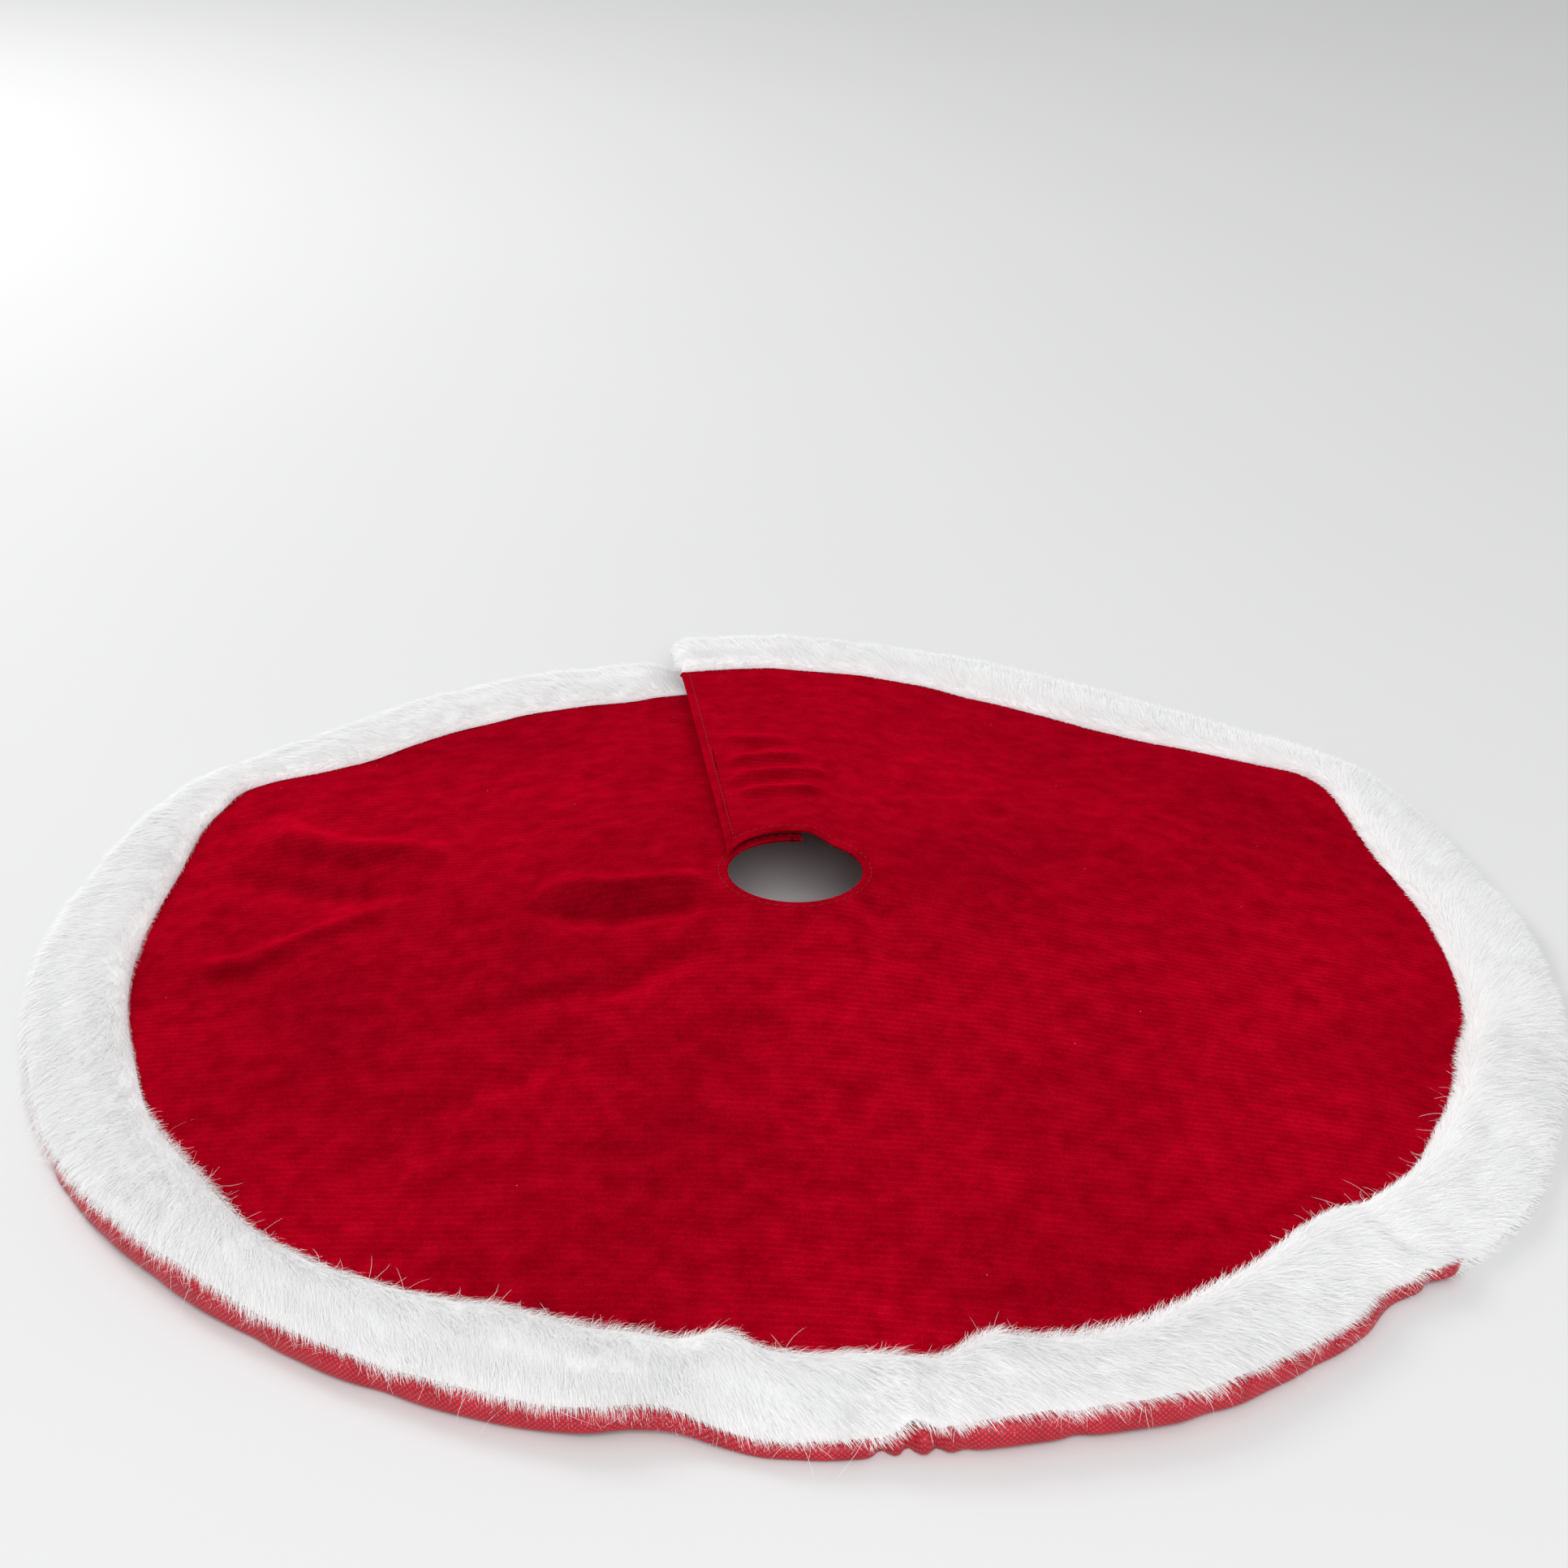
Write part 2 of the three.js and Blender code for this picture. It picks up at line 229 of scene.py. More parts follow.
# Between which azimuths, in degrees, the lining comes into sight and goes out of it.
LINING_COMES = (-168, -142)
LINING_GOES = (-44.5, -40)
# The velvet is lifted towards the front, from this radius outwards.
RISE_FROM = 130
RISE_AT_FRONT = 2.6
# Radians before the hinge where the flap starts to rise, and before the under-lap where it is up.
RISES_BEFORE_HINGE = 0.12
UP_BEFORE_LAP = 0.03

# Soft unevenness of the velvet: height, size and seed. It fades out round the hole.
UNEVENNESS = [(0.55, 34, 3), (0.22, 12, 4)]
SMOOTH_ROUND_HOLE = 30
# The plain strip along the slit: where it rises and falls across it, and where it begins.
LAP_RISES = (-26, -12)
LAP_FALLS = (26, 40)
LAP_BEGINS = (-6, 12)
# How strongly the painted shade darkens the velvet's fold slopes that face the front and lightens
# those that face the back.
PAINTED_SHADE_STRENGTH = 1.5

# Folds and ripples: line, height and half width in mm. Each rises and falls along its line
# between these shares of it.
FOLD_RISES = (-0.02, 0.25)
FOLD_FALLS = (0.7, 1.02)
FOLDS = [
    ([polar(27, -163), polar(55, -174), polar(88, 177)], 3.6, 6.5),
    ([polar(34, -140), polar(62, -158), polar(95, -174)], -2.4, 6.5),
    ([polar(123, 164), polar(170, 162), polar(216, 159.5)], 3.6, 8.5),
    ([polar(132, 177), polar(170, 172), polar(210, 168)], -2.4, 8.0),
    ([polar(129, 178), polar(156, -177), polar(184, -172), polar(214, -174)], 2.3, 6.0),
    ([polar(46, -124), polar(79, -130), polar(133, -147)], -2.0, 7.5),
    ([polar(101, -123), polar(144, -131), polar(214, -130)], -2.0, 8.5),
    ([polar(78, -93), polar(112, -102)], -1.3, 7.5),
    ([polar(28, -31), polar(69, -56)], -1.6, 7.0),
]
FLAP_RIPPLES = [
    ([on_slit(62, -20), on_slit(60, 17)], 2.0, 4.5),
    ([on_slit(79, -24), on_slit(77, 17)], 2.6, 5.0),
    ([on_slit(97, -20), on_slit(96, 17)], 2.2, 5.5),
    ([on_slit(117, -12), on_slit(118, 17)], 1.7, 6.0),
]


def offset_azimuth(radius, offset):
    """Azimuth at a radius on a line beside the slit."""
    return SLIT + np.arcsin(np.clip(offset / radius, -1, 1))


def over_edge(radius):
    """Azimuth of the flap's free edge."""
    return offset_azimuth(radius, OVER_OFFSET)


def under_edge(radius):
    """Azimuth of the under-lap's edge."""
    return offset_azimuth(radius, UNDER_OFFSET)


def rim_radius(azimuth):
    """Radius of the outermost edge."""
    fullness = FRONT_FULLNESS * lining_shows(azimuth)
    return RIM - RIM_DRAWN_IN + fullness + bumps_at(azimuth, RIM_BUMPS)


def seam_radius(azimuth):
    """Radius of the seam between velvet and fur."""
    return SEAM + bumps_at(azimuth, SEAM_BUMPS)


def rim_lift(azimuth):
    """How far the rim stands off the table."""
    return bumps_at(azimuth, RIM_LIFTS)


def roll_height(azimuth):
    """Height of the lining's roll from its foot to its top."""
    puffed = ROLL_WHERE_SHOWN + bumps_at(azimuth, ROLL_BUMPS)
    return ROLL_LEAST + puffed * lining_shows(azimuth)


def front_share(azimuth):
    """1 at the front, where the puffed rim lifts the band, and 0 at the back."""
    return smoothstep(-np.sin(azimuth), 0.1, 0.8)


def lining_shows(azimuth):
    """1 along the front, where the lining shows below the fur, and 0 where the fur hides it."""
    at = (azimuth + math.pi) % TURN - math.pi
    return window(at, np.radians(LINING_COMES), np.radians(LINING_GOES))


def tent(radius):
    """Height of the velvet's upper side on the plain tent."""
    return VELVET_TOP - SLOPE * (radius - HOLE)


def flap_lift(radius, azimuth):
    """How far the flap rises to lie on the other side of the slit."""
    share = (radius - HOLE) / (RIM - HOLE)
    full = np.minimum(LIFT_AT_HOLE + (LIFT_AT_RIM - LIFT_AT_HOLE) * share, LIFT_AT_MOST)
    up = under_edge(radius) - UP_BEFORE_LAP
    return full * smoothstep(azimuth, HINGE - RISES_BEFORE_HINGE, up)


def fold_height(x, y, folds):
    """Height of all folds at plan points. Each fades out at both ends."""
    total = np.zeros(np.shape(x))
    for line, height, width in folds:
        away, place = distance_to_line(x, y, line)
        total += height * window(place, FOLD_RISES, FOLD_FALLS) * np.exp(-(away / width) ** 2)
    return total


def near_slit(x, y):
    """1 on the strip where the two sides of the slit overlap, where they lie plainly."""
    along = x * math.cos(SLIT) + y * math.sin(SLIT)
    offset = -x * math.sin(SLIT) + y * math.cos(SLIT)
    return window(offset, LAP_RISES, LAP_FALLS) * smoothstep(along, *LAP_BEGINS)


def relief(x, y, lift):
    """Height of the velvet's folds, ripples and soft unevenness above the plain tent."""
    uneven = layers(hills, x, y, UNEVENNESS)
    outside_hole = smoothstep(np.hypot(x, y), HOLE, HOLE + SMOOTH_ROUND_HOLE)
    shaped = (1 - near_slit(x, y)) * (fold_height(x, y, FOLDS) + uneven * outside_hole)
    if lift:
        shaped = shaped + fold_height(x, y, FLAP_RIPPLES)
    return shaped


def velvet_height(radius, azimuth, lift):
    """Height of the velvet's upper side, with its folds and soft unevenness."""
    outwards = smoothstep(radius, RISE_FROM, SEAM)
    rise = RISE_AT_FRONT * front_share(azimuth) + bumps_at(azimuth, CORNER_LIFTS)
    plain = tent(radius) + outwards * rise
    shaped = plain + relief(*plan(azimuth, radius), lift)
    if lift:
        shaped = shaped + flap_lift(radius, azimuth)
    return shaped


def painted_fold_shade(radius, azimuth, lift):
    """Painted fold shade, 0 to 1: darker where slopes face the front, lighter where they face the
    back.
    """
    x, y = plan(azimuth, radius)
    slope = (relief(x, y + 1, lift) - relief(x, y - 1, lift)) / 2
    return np.clip(0.5 - PAINTED_SHADE_STRENGTH * slope, 0, 1)


# ---------------------------------------------------------------- mesh makers


def new_piece(name, points, corners, sizes, materials):
    """A smooth-shaded object from points in mm, one list of face corners and the faces' sizes."""
    mesh = bpy.data.meshes.new(name)
    flat = np.asarray(points, float).reshape(-1, 3) * MM
    mesh.vertices.add(len(flat))
    mesh.vertices.foreach_set("co", flat.astype(np.float32).ravel())
    mesh.loops.add(len(corners))
    mesh.loops.foreach_set("vertex_index", corners.astype(np.int32))
    mesh.polygons.add(len(sizes))
    starts = np.concatenate([[0], np.cumsum(sizes)[:-1]]).astype(np.int32)
    mesh.polygons.foreach_set("loop_start", starts)
    mesh.polygons.foreach_set("use_smooth", np.ones(len(sizes), bool))
    mesh.update(calc_edges=True)
    mesh.validate()
    for material in materials:
        mesh.materials.append(material)
    piece = bpy.data.objects.new(name, mesh)
    bpy.context.scene.collection.objects.link(piece)
    return piece


def mesh_piece(name, points, faces, material, uv=None):
    """An object from points in mm, faces as rows of point numbers, and cloth coordinates."""
    corners = np.concatenate(faces)
    piece = new_piece(name, points, corners, [len(face) for face in faces], [material])
    if uv is not None:
        layer = piece.data.uv_layers.new(name="cloth")
        layer.data.foreach_set("uv", uv.reshape(-1, 2)[corners].astype(np.float32).ravel())
    return piece


def grid_faces(columns, rows):
    """Quads of a grid of points stored column by column."""
    column, row = np.meshgrid(np.arange(columns - 1), np.arange(rows - 1), indexing="ij")
    first = (column * rows + row).ravel()
    return np.stack([first, first + 1, first + rows + 1, first + rows], axis=1)


# A turned hem: how far inside the edge each row lies, and how far below the cloth's upper side.
HEM = [(3.2, 1.6), (0.8, 1.55), (0.15, 1.2), (0.0, 0.8), (0.15, 0.35), (0.7, 0.06), (1.6, 0.0)]
# The plain rows start this far inside a hemmed edge, and rows nearer than NEAR_HEM keep their place.
PLAIN_FROM = 2.4
NEAR_HEM = 4


def hemmed(count, length, at_start, at_end):
    """Places along a side, in mm from its start, and how far each lies below the cloth.

    The places at a hemmed end turn round the edge and run back under the cloth.
    """
    last = length - PLAIN_FROM if at_end else length
    places = np.linspace(PLAIN_FROM if at_start else 0.0, last, count)
    drops = np.zeros(count)
    if at_start:
        places = np.concatenate([[inset for inset, _ in HEM], places])
        drops = np.concatenate([[drop for _, drop in HEM], drops])
    if at_end:
        places = np.concatenate([places, [length - inset for inset, _ in reversed(HEM)]])
        drops = np.concatenate([drops, [drop for _, drop in reversed(HEM)]])
    return places, drops


def skirt_part():
    """The turn of the cloth that stays: from the edge under the flap round to the split."""
    return {"name": "skirt", "start": under_edge, "end": lambda r: SPLIT + TURN + 0 * r,
            "hem_start": True, "hem_end": False, "lift": False}


def flap_part():
    """The turn of the cloth that bends up with the flap: from the split to its free edge."""
    return {"name": "flap", "start": lambda r: SPLIT + 0 * r, "end": over_edge,
            "hem_start": False, "hem_end": True, "lift": True}


def turned_grid(part, columns, radii, inset=0.0):
    """Azimuths, radii and hem drops of a sheet whose rows may have a radius for each azimuth.

    radii is a function of azimuth that gives the row radii there. The sheet's hemmed ends
    stay an inset, in mm, inside the part's ends.
    """
    middle = (HOLE + RIM) / 2
    turn = part["end"](middle) - part["start"](middle)
    length = float(turn) * middle
    places, drops = hemmed(columns, length, part["hem_start"], part["hem_end"])
    share = (places / length)[:, None]
    radius = radii(part["start"](middle) + share * turn)
    start = part["start"](radius) + (inset / radius if part["hem_start"] else 0)
    end = part["end"](radius) - (inset / radius if part["hem_end"] else 0)
    azimuth = start + share * (end - start)
    # Near a hemmed edge the places keep their distance in mm.
    from_start = places[:, None]
    from_end = (length - places)[:, None]
    if part["hem_start"]:
        azimuth = np.where(from_start < NEAR_HEM, start + from_start / radius, azimuth)
    if part["hem_end"]:
        azimuth = np.where(from_end < NEAR_HEM, end - from_end / radius, azimuth)
    return azimuth, radius, drops[:, None]


def cloth_from(name, azimuth, radius, height, material):
    """A sheet object on a grid of azimuths, radii and heights, with cloth coordinates in metres."""
    points = points_at(azimuth, radius, height)
    steps = np.linalg.norm(np.diff(points, axis=1), axis=-1)
    across = np.concatenate([np.zeros((len(points), 1)), np.cumsum(steps, axis=1)], axis=1) * MM
    uv = np.stack([azimuth * RIM * MM, across], axis=-1)
    return mesh_piece(name, points, grid_faces(*azimuth.shape), material, uv)


# ---------------------------------------------------------------- materials


class Nodes:
    """Short words for building one material's node tree."""

    def __init__(self, name):
        self.material = bpy.data.materials.new(name)
        self.material.use_nodes = True
        self.tree = self.material.node_tree
        self.shader = self.tree.nodes["Principled BSDF"]

    def add(self, kind, **settings):
        """A new node with some of its settings."""
        node = self.tree.nodes.new(kind)
        for key, value in settings.items():
            setattr(node, key, value)
        return node

    def link(self, source, target):
        self.tree.links.new(source, target)

    def place(self, scale=(1, 1, 1), turn=0.0, source="Object"):
        """Coordinates in metres, stretched and turned about Z."""
        if source == "cloth":
            start = self.add("ShaderNodeUVMap", uv_map="cloth").outputs["UV"]
        else:
            start = self.add("ShaderNodeTexCoord").outputs[source]
        mapping = self.add("ShaderNodeMapping")
        mapping.inputs["Scale"].default_value = scale
        mapping.inputs["Rotation"].default_value[2] = turn
        self.link(start, mapping.inputs["Vector"])
        return mapping.outputs["Vector"]

    def noise(self, vector, scale, detail, roughness):
        """Soft random patches, from 0 to 1."""
        node = self.add("ShaderNodeTexNoise")
        node.inputs["Scale"].default_value = scale
        node.inputs["Detail"].default_value = detail
        node.inputs["Roughness"].default_value = roughness
        self.link(vector, node.inputs["Vector"])
        return node.outputs["Fac"]

    def wave(self, vector, scale, direction, distortion, detail_scale=1.0):
        """Parallel bands across X or Y, from 0 to 1."""
        node = self.add("ShaderNodeTexWave", bands_direction=direction)
        node.inputs["Scale"].default_value = scale
        node.inputs["Distortion"].default_value = distortion
        node.inputs["Detail Scale"].default_value = detail_scale
        self.link(vector, node.inputs["Vector"])
        return node.outputs["Fac"]

    def ramp(self, value, stops):
        """A colour ramp from (place, colour) stops."""
        node = self.add("ShaderNodeValToRGB")
        elements = node.color_ramp.elements
        while len(elements) < len(stops):
            elements.new(0.5)
        for element, (place, colour) in zip(elements, stops):
            element.position = place
            element.color = (*colour, 1.0)
        self.link(value, node.inputs["Fac"])
        return node.outputs["Color"]

    def mix(self, share, first, second, kind="MIX"):
        """Mixes two colours; share is a number or an output."""
        node = self.add("ShaderNodeMix", data_type="RGBA", blend_type=kind)
        pairs = ((node.inputs[0], share), (node.inputs[6], first), (node.inputs[7], second))
        for socket, value in pairs:
            self.put(value, socket)
        return node.outputs[2]

    def times(self, first, second):
        """Multiplies two colours."""
        return self.mix(1.0, first, second, "MULTIPLY")

    def maths(self, operation, first, second):
        """A sum, product or comparison of two values."""
        node = self.add("ShaderNodeMath", operation=operation)
        self.put(first, node.inputs[0])
        self.put(second, node.inputs[1])
        return node.outputs[0]

    def put(self, value, socket):
        """Links an output to a socket, or sets the socket to a plain value."""
        if isinstance(value, bpy.types.NodeSocket):
            self.link(value, socket)
        elif isinstance(value, tuple):
            socket.default_value = (*value, 1.0)
        else:
            socket.default_value = value

    def bump(self, height, strength, distance):
        """Fine relief of a height, in metres, on the shader's normal."""
        node = self.add("ShaderNodeBump")
        node.inputs["Strength"].default_value = strength
        node.inputs["Distance"].default_value = distance
        self.link(height, node.inputs["Height"])
        self.link(node.outputs["Normal"], self.shader.inputs["Normal"])

    def finish(self, roughness, specular, sheen=0.0, sheen_tint=(1, 1, 1), sheen_roughness=0.4):
        """Sets the plain values of the shader and returns the material."""
        self.put(roughness, self.shader.inputs["Roughness"])
        self.put(specular, self.shader.inputs["Specular IOR Level"])
        self.put(sheen, self.shader.inputs["Sheen Weight"])
        self.put(sheen_roughness, self.shader.inputs["Sheen Roughness"])
        self.put(sheen_tint, self.shader.inputs["Sheen Tint"])
        return self.material

    def colour(self, value):
        """Sets the base colour, to an output or a plain colour."""
        self.put(value, self.shader.inputs["Base Color"])


def grey(level):
    """A neutral colour."""
    return (level, level, level)


def velvet_material():
    """Short red pile: mottled, faint curved knit courses, a few specks of lint, painted fold shade.
    """
    made = Nodes("velvet_pile")
    flat = made.place()
    blotches = made.noise(flat, 120, 4.0, 0.62)
    patches = made.noise(flat, 9, 2.0, 0.5)
    fibres = made.noise(made.place((1, 1.6, 1)), 1500, 2.0, 0.6)
    courses = made.wave(made.place(turn=0.05), 122, "Y", 5.0, 0.05)
    # Painted shade on the folds, from a point attribute: darker on slopes that face the front.
    painted_shade = made.add("ShaderNodeAttribute", attribute_name="painted_fold_shade").outputs["Fac"]
    colour = made.ramp(blotches, [(0.30, (0.28, 0.0, 0.006)), (0.72, (0.45, 0.001, 0.013))])
    colour = made.times(colour, made.ramp(patches, [(0.3, grey(0.80)), (0.7, (1.08, 1.0, 1.0))]))
    colour = made.times(colour, made.ramp(fibres, [(0.3, grey(0.72)), (0.7, grey(1.2))]))
    ribs = made.ramp(courses, [(0.55, grey(0.96)), (1.0, (1.20, 1.5, 1.5))])
    colour = made.mix(made.maths("MULTIPLY", patches, 1.1), colour, made.times(colour, ribs))
    # Painted shade: fold slopes facing the front are darkened, those facing the back lightened.
    colour = made.times(colour, made.ramp(painted_shade, [(0.0, grey(0.66)), (1.0, (1.30, 1.34, 1.34))]))
    made.colour(made.mix(lint(made), colour, (0.66, 0.22, 0.24)))
    height = made.maths("MULTIPLY", fibres, 0.8)
    height = made.maths("ADD", height, made.maths("MULTIPLY", courses, 0.25))
    height = made.maths("ADD", height, made.maths("MULTIPLY", blotches, 1.2))
    made.bump(height, 0.55, 0.0006)
    return made.finish(0.9, 0.0, sheen=0.3, sheen_tint=(0.8, 0.0, 0.03), sheen_roughness=0.35)


def cells(made, scale):
    """A field of small random cells."""
    node = made.add("ShaderNodeTexVoronoi", feature="F1")
    made.put(scale, node.inputs["Scale"])
    made.link(made.place(), node.inputs["Vector"])
    return node.outputs


def lint(made):
    """A share that is 1 on rare small specks."""
    field = cells(made, 90)
    speck = made.maths("LESS_THAN", field["Distance"], 0.016)
    chosen = made.add("ShaderNodeSeparateColor")
    made.link(field["Color"], chosen.inputs["Color"])
    rare = made.maths("GREATER_THAN", chosen.outputs["Red"], 0.6)
    return made.maths("MULTIPLY", speck, rare)


def lining_material():
    """Red plain-woven lining on the bias, with a soft satin shine."""
    made = Nodes("lining_weave")
    bias = made.place(turn=math.radians(45), source="cloth")
    warp = made.wave(bias, 270, "X", 0.3, 2.0)
    weft = made.wave(bias, 270, "Y", 0.3, 2.0)
    weave = made.maths("MULTIPLY", warp, weft)
    slubs = made.noise(made.place(source="cloth"), 120, 3.0, 0.6)
    base = made.ramp(slubs, [(0.3, (0.44, 0.010, 0.026)), (0.7, (0.60, 0.022, 0.044))])
    threads = made.ramp(weave, [(0.0, (0.58, 0.50, 0.50)), (0.6, (1.26, 1.30, 1.30))])
    made.colour(made.times(base, threads))
    made.bump(weave, 0.5, 0.0003)
    return made.finish(0.48, 0.4, sheen=0.18, sheen_tint=(1.0, 0.5, 0.5), sheen_roughness=0.3)


def fur_base_material():
    """The dense foot of the pile, seen between the hairs."""
    made = Nodes("fur_underpile")
    flat = made.place()
    tufts = made.noise(flat, 210, 4.0, 0.65)
    clouds = made.noise(flat, 26, 2.0, 0.5)
    base = made.ramp(tufts, [(0.25, (0.93, 0.93, 0.933)), (0.7, (0.98, 0.98, 0.982))])
    shade = made.ramp(clouds, [(0.3, (0.96, 0.96, 0.965)), (0.7, grey(1.0))])
    made.colour(made.times(base, shade))
    made.bump(tufts, 0.3, 0.0008)
    return made.finish(0.9, 0.15, sheen=0.3, sheen_roughness=0.5)


def hair_material(name, colour):
    """One tint of the hairs, which differ from hair to hair by material slot."""
    made = Nodes(name)
    made.colour(colour)
    return made.finish(0.55, 0.25, sheen=0.4, sheen_roughness=0.5)


def thread_material(name, dark, bright):
    """Twisted sewing thread."""
    made = Nodes(name)
    twist = made.wave(made.place(turn=0.6), 900, "X", 1.0)
    made.colour(made.ramp(twist, [(0.2, dark), (0.8, bright)]))
    made.bump(twist, 0.4, 0.0001)
    return made.finish(0.7, 0.12)


def tape_material(name, dark, bright, roughness):
    """Hook or loop tape: a dense field of tiny hooks or a brushed nap."""
    made = Nodes(name)
    height = cells(made, 1100)["Distance"]
    made.colour(made.ramp(height, [(0.1, bright), (0.6, dark)]))
    made.bump(height, 0.9, 0.0004)
    return made.finish(roughness, 0.35, sheen=0.2, sheen_tint=(1, 0.6, 0.6))


def label_material():
    """Plain white woven ribbon, without any print."""
    made = Nodes("label_ribbon")
    ribs = made.wave(made.place(turn=SLIT), 700, "X", 0.2)
    made.colour(made.ramp(ribs, [(0.2, (0.72, 0.71, 0.69)), (0.8, (0.88, 0.87, 0.85))]))
    made.bump(ribs, 0.4, 0.0002)
    return made.finish(0.4, 0.5, sheen=0.1)


def floor_material():
    """Pale smooth studio floor."""
    made = Nodes("pale_floor")
    cloud = made.noise(made.place(), 3, 3.0, 0.5)
    made.colour(made.ramp(cloud, [(0.3, (0.765, 0.765, 0.768)), (0.7, (0.775, 0.775, 0.778))]))
    return made.finish(0.7, 0.2)


VELVET = velvet_material()
LINING = lining_material()
UNDERPILE = fur_base_material()
HAIR = [
    hair_material("fur_hair_bright", (0.99, 0.99, 0.99)),
    hair_material("fur_hair_warm", (0.985, 0.98, 0.972)),
    hair_material("fur_hair_cool", (0.965, 0.97, 0.98)),
]
RED_THREAD = thread_material("red_thread_twist", (0.20, 0.001, 0.005), (0.36, 0.002, 0.010))
WHITE_THREAD = thread_material("white_thread_twist", (0.60, 0.60, 0.58), (0.84, 0.83, 0.81))
HOOK_TAPE = tape_material("hook_tape_field", (0.20, 0.004, 0.01), (0.42, 0.02, 0.035), 0.45)
LOOP_TAPE = tape_material("loop_tape_nap", (0.24, 0.004, 0.01), (0.40, 0.012, 0.025), 0.9)
LABEL = label_material()

# ---------------------------------------------------------------- velvet

VELVET_ROWS = 110
# The rows are spread over a nominal width first and stretched to each azimuth's own width.
NOMINAL_WIDTH = 200
# The velvet's edge runs on below the fur, goes down there, and stays above the table.
TUCK = 5
TUCK_DROP = 2
LOWEST_TUCK = 1.6


def velvet_part(part, columns):
    """The velvet of one part: hemmed at the hole and the slit, tucked under the fur."""
    inner, drops = hemmed(VELVET_ROWS, NOMINAL_WIDTH, True, False)

    def radii(azimuth):
        stretch = (seam_radius(azimuth) + TUCK - HOLE - PLAIN_FROM) / (NOMINAL_WIDTH - PLAIN_FROM)
        stretched = PLAIN_FROM + (inner - PLAIN_FROM) * stretch
        return HOLE + np.where(inner < NEAR_HEM, inner, stretched)

    azimuth, radius, side_drops = turned_grid(part, columns, radii)
    seam = seam_radius(azimuth)
    tucked = smoothstep(radius, seam, seam + TUCK)
    height = velvet_height(radius, azimuth, part["lift"])
    height = height - np.maximum(drops[None, :], side_drops) - TUCK_DROP * tucked
    height = np.where(tucked > 0, np.maximum(height, LOWEST_TUCK), height)
    piece = cloth_from(f"velvet_cloth_{part['name']}", azimuth, radius, height, VELVET)
    # Painted shade on the folds, kept on the points for the velvet's colour to multiply.
    layer = piece.data.attributes.new("painted_fold_shade", "FLOAT", "POINT")
    shade = painted_fold_shade(radius, azimuth, part["lift"])
    layer.data.foreach_set("value", shade.astype(np.float32).ravel())
    return piece


# ---------------------------------------------------------------- lining

# The turned hem at the hole: how far outside its edge each row lies, and how far above the lining.
LINING_HEM = [(2.5, 1.4), (0.6, 1.3), (0.1, 0.8), (0.4, 0.2)]
LINING_INSET = 2.2
# The flat rows start this far outside the hole, and lie at shares of the way to the roll.
FLAT_FROM = 3
FLAT_SHARES = [0.0, *np.linspace(0.01, 1, 40)]
LOWEST_LINING = 0.35
CLEAR_OF_TABLE = 0.2
# The lining's side hems turn up by this share of the velvet's.
SIDE_HEM_SHARE = 0.8
# The roll goes round from its foot to its top, more squarely than a circle.
ROLL_TURNS = np.linspace(-math.pi / 2, math.pi / 2, 14)
ROLL_SQUARENESS = 0.72
ROLL_OUT = np.cos(ROLL_TURNS) ** ROLL_SQUARENESS
ROLL_UP = np.sign(ROLL_TURNS) * np.abs(np.sin(ROLL_TURNS)) ** ROLL_SQUARENESS
# Rows past the roll's top, tucked in below the fur: how far inwards and how far down.
ROLL_TUCK = [(3, 0.6), (8, 2.5)]
FIRST_ROLL = len(LINING_HEM) + len(FLAT_SHARES)
# The lining follows the velvet's folds, but less and less over this width inside the seam.
FOLDS_FADE = 32
# The flat part follows the lifted rim between these distances inside it.
FOLLOWS_RIM = (26, 6)
# The roll is drawn in where the slit's sides lap, and the last flat rows follow it.
DRAWN_IN_AT_SLIT = 1.6
ROWS_THAT_FOLLOW = 4
# Uneven fullness of the roll: height, size and seed.
FULLNESS = [(0.45, 22, 21), (0.25, 7, 22)]
# Gathers in the roll: azimuth and half width in degrees, depth in mm.
GATHERS = [
    (-84.6, 0.5, 4.0), (-83.0, 0.45, 4.6), (-81.3, 0.45, 3.6), (-79.7, 0.5, 1.4), (-44.3, 0.9, 3.4),
    (-100, 1.5, 1.2), (-73, 0.8, 1.4), (-65, 1.2, 1.0), (-115, 1.6, 0.8),
]


def lining_radii(azimuth):
    """Radii of the lining's rows: hem, flat part, roll and tucked edge."""
    half = roll_height(azimuth) / 2
    centre = rim_radius(azimuth) - half
    hem = [HOLE + LINING_INSET + inset + 0 * azimuth for inset, _ in LINING_HEM]
    flat = [HOLE + FLAT_FROM + (centre - FLAT_FROM - HOLE) * share for share in FLAT_SHARES]
    roll = [centre + half * out for out in ROLL_OUT]
    tuck = [centre - inwards for inwards, _ in ROLL_TUCK]
    return np.concatenate(hem + flat + roll + tuck, axis=1)


def lining_part(part, columns):
    """The lining of one part: a sheet under the tent that rolls up round the rim."""
    azimuth, radius, side_drops = turned_grid(part, columns, lining_radii, LINING_INSET)
    lift = flap_lift(radius, azimuth) * part["lift"]
    folds = velvet_height(radius, azimuth, part["lift"]) - tent(radius) - lift
    folds = folds * (1 - smoothstep(radius, SEAM - FOLDS_FADE, SEAM))
    height = np.maximum(tent(radius) + folds - PANEL_THICKNESS, LOWEST_LINING) + lift
    foot = rim_lift(azimuth[:, :1]) + LOWEST_LINING + lift[:, FIRST_ROLL:-2]
    height[:, FIRST_ROLL:-2] = foot + roll_height(azimuth[:, :1]) / 2 * (1 + ROLL_UP)
    height[:, -2:] = height[:, -3:-2] - np.array([down for _, down in ROLL_TUCK])
    flat = np.s_[:, :FIRST_ROLL]
    near_rim = smoothstep(radius[flat], RIM - FOLLOWS_RIM[0], RIM - FOLLOWS_RIM[1])
    height[flat] += near_rim * rim_lift(azimuth[flat]) + side_drops * SIDE_HEM_SHARE
    height[:, : len(LINING_HEM)] += [up for _, up in LINING_HEM]
    pucker(azimuth, radius, height)
    return cloth_from(f"lining_cloth_{part['name']}", azimuth, radius, height, LINING)


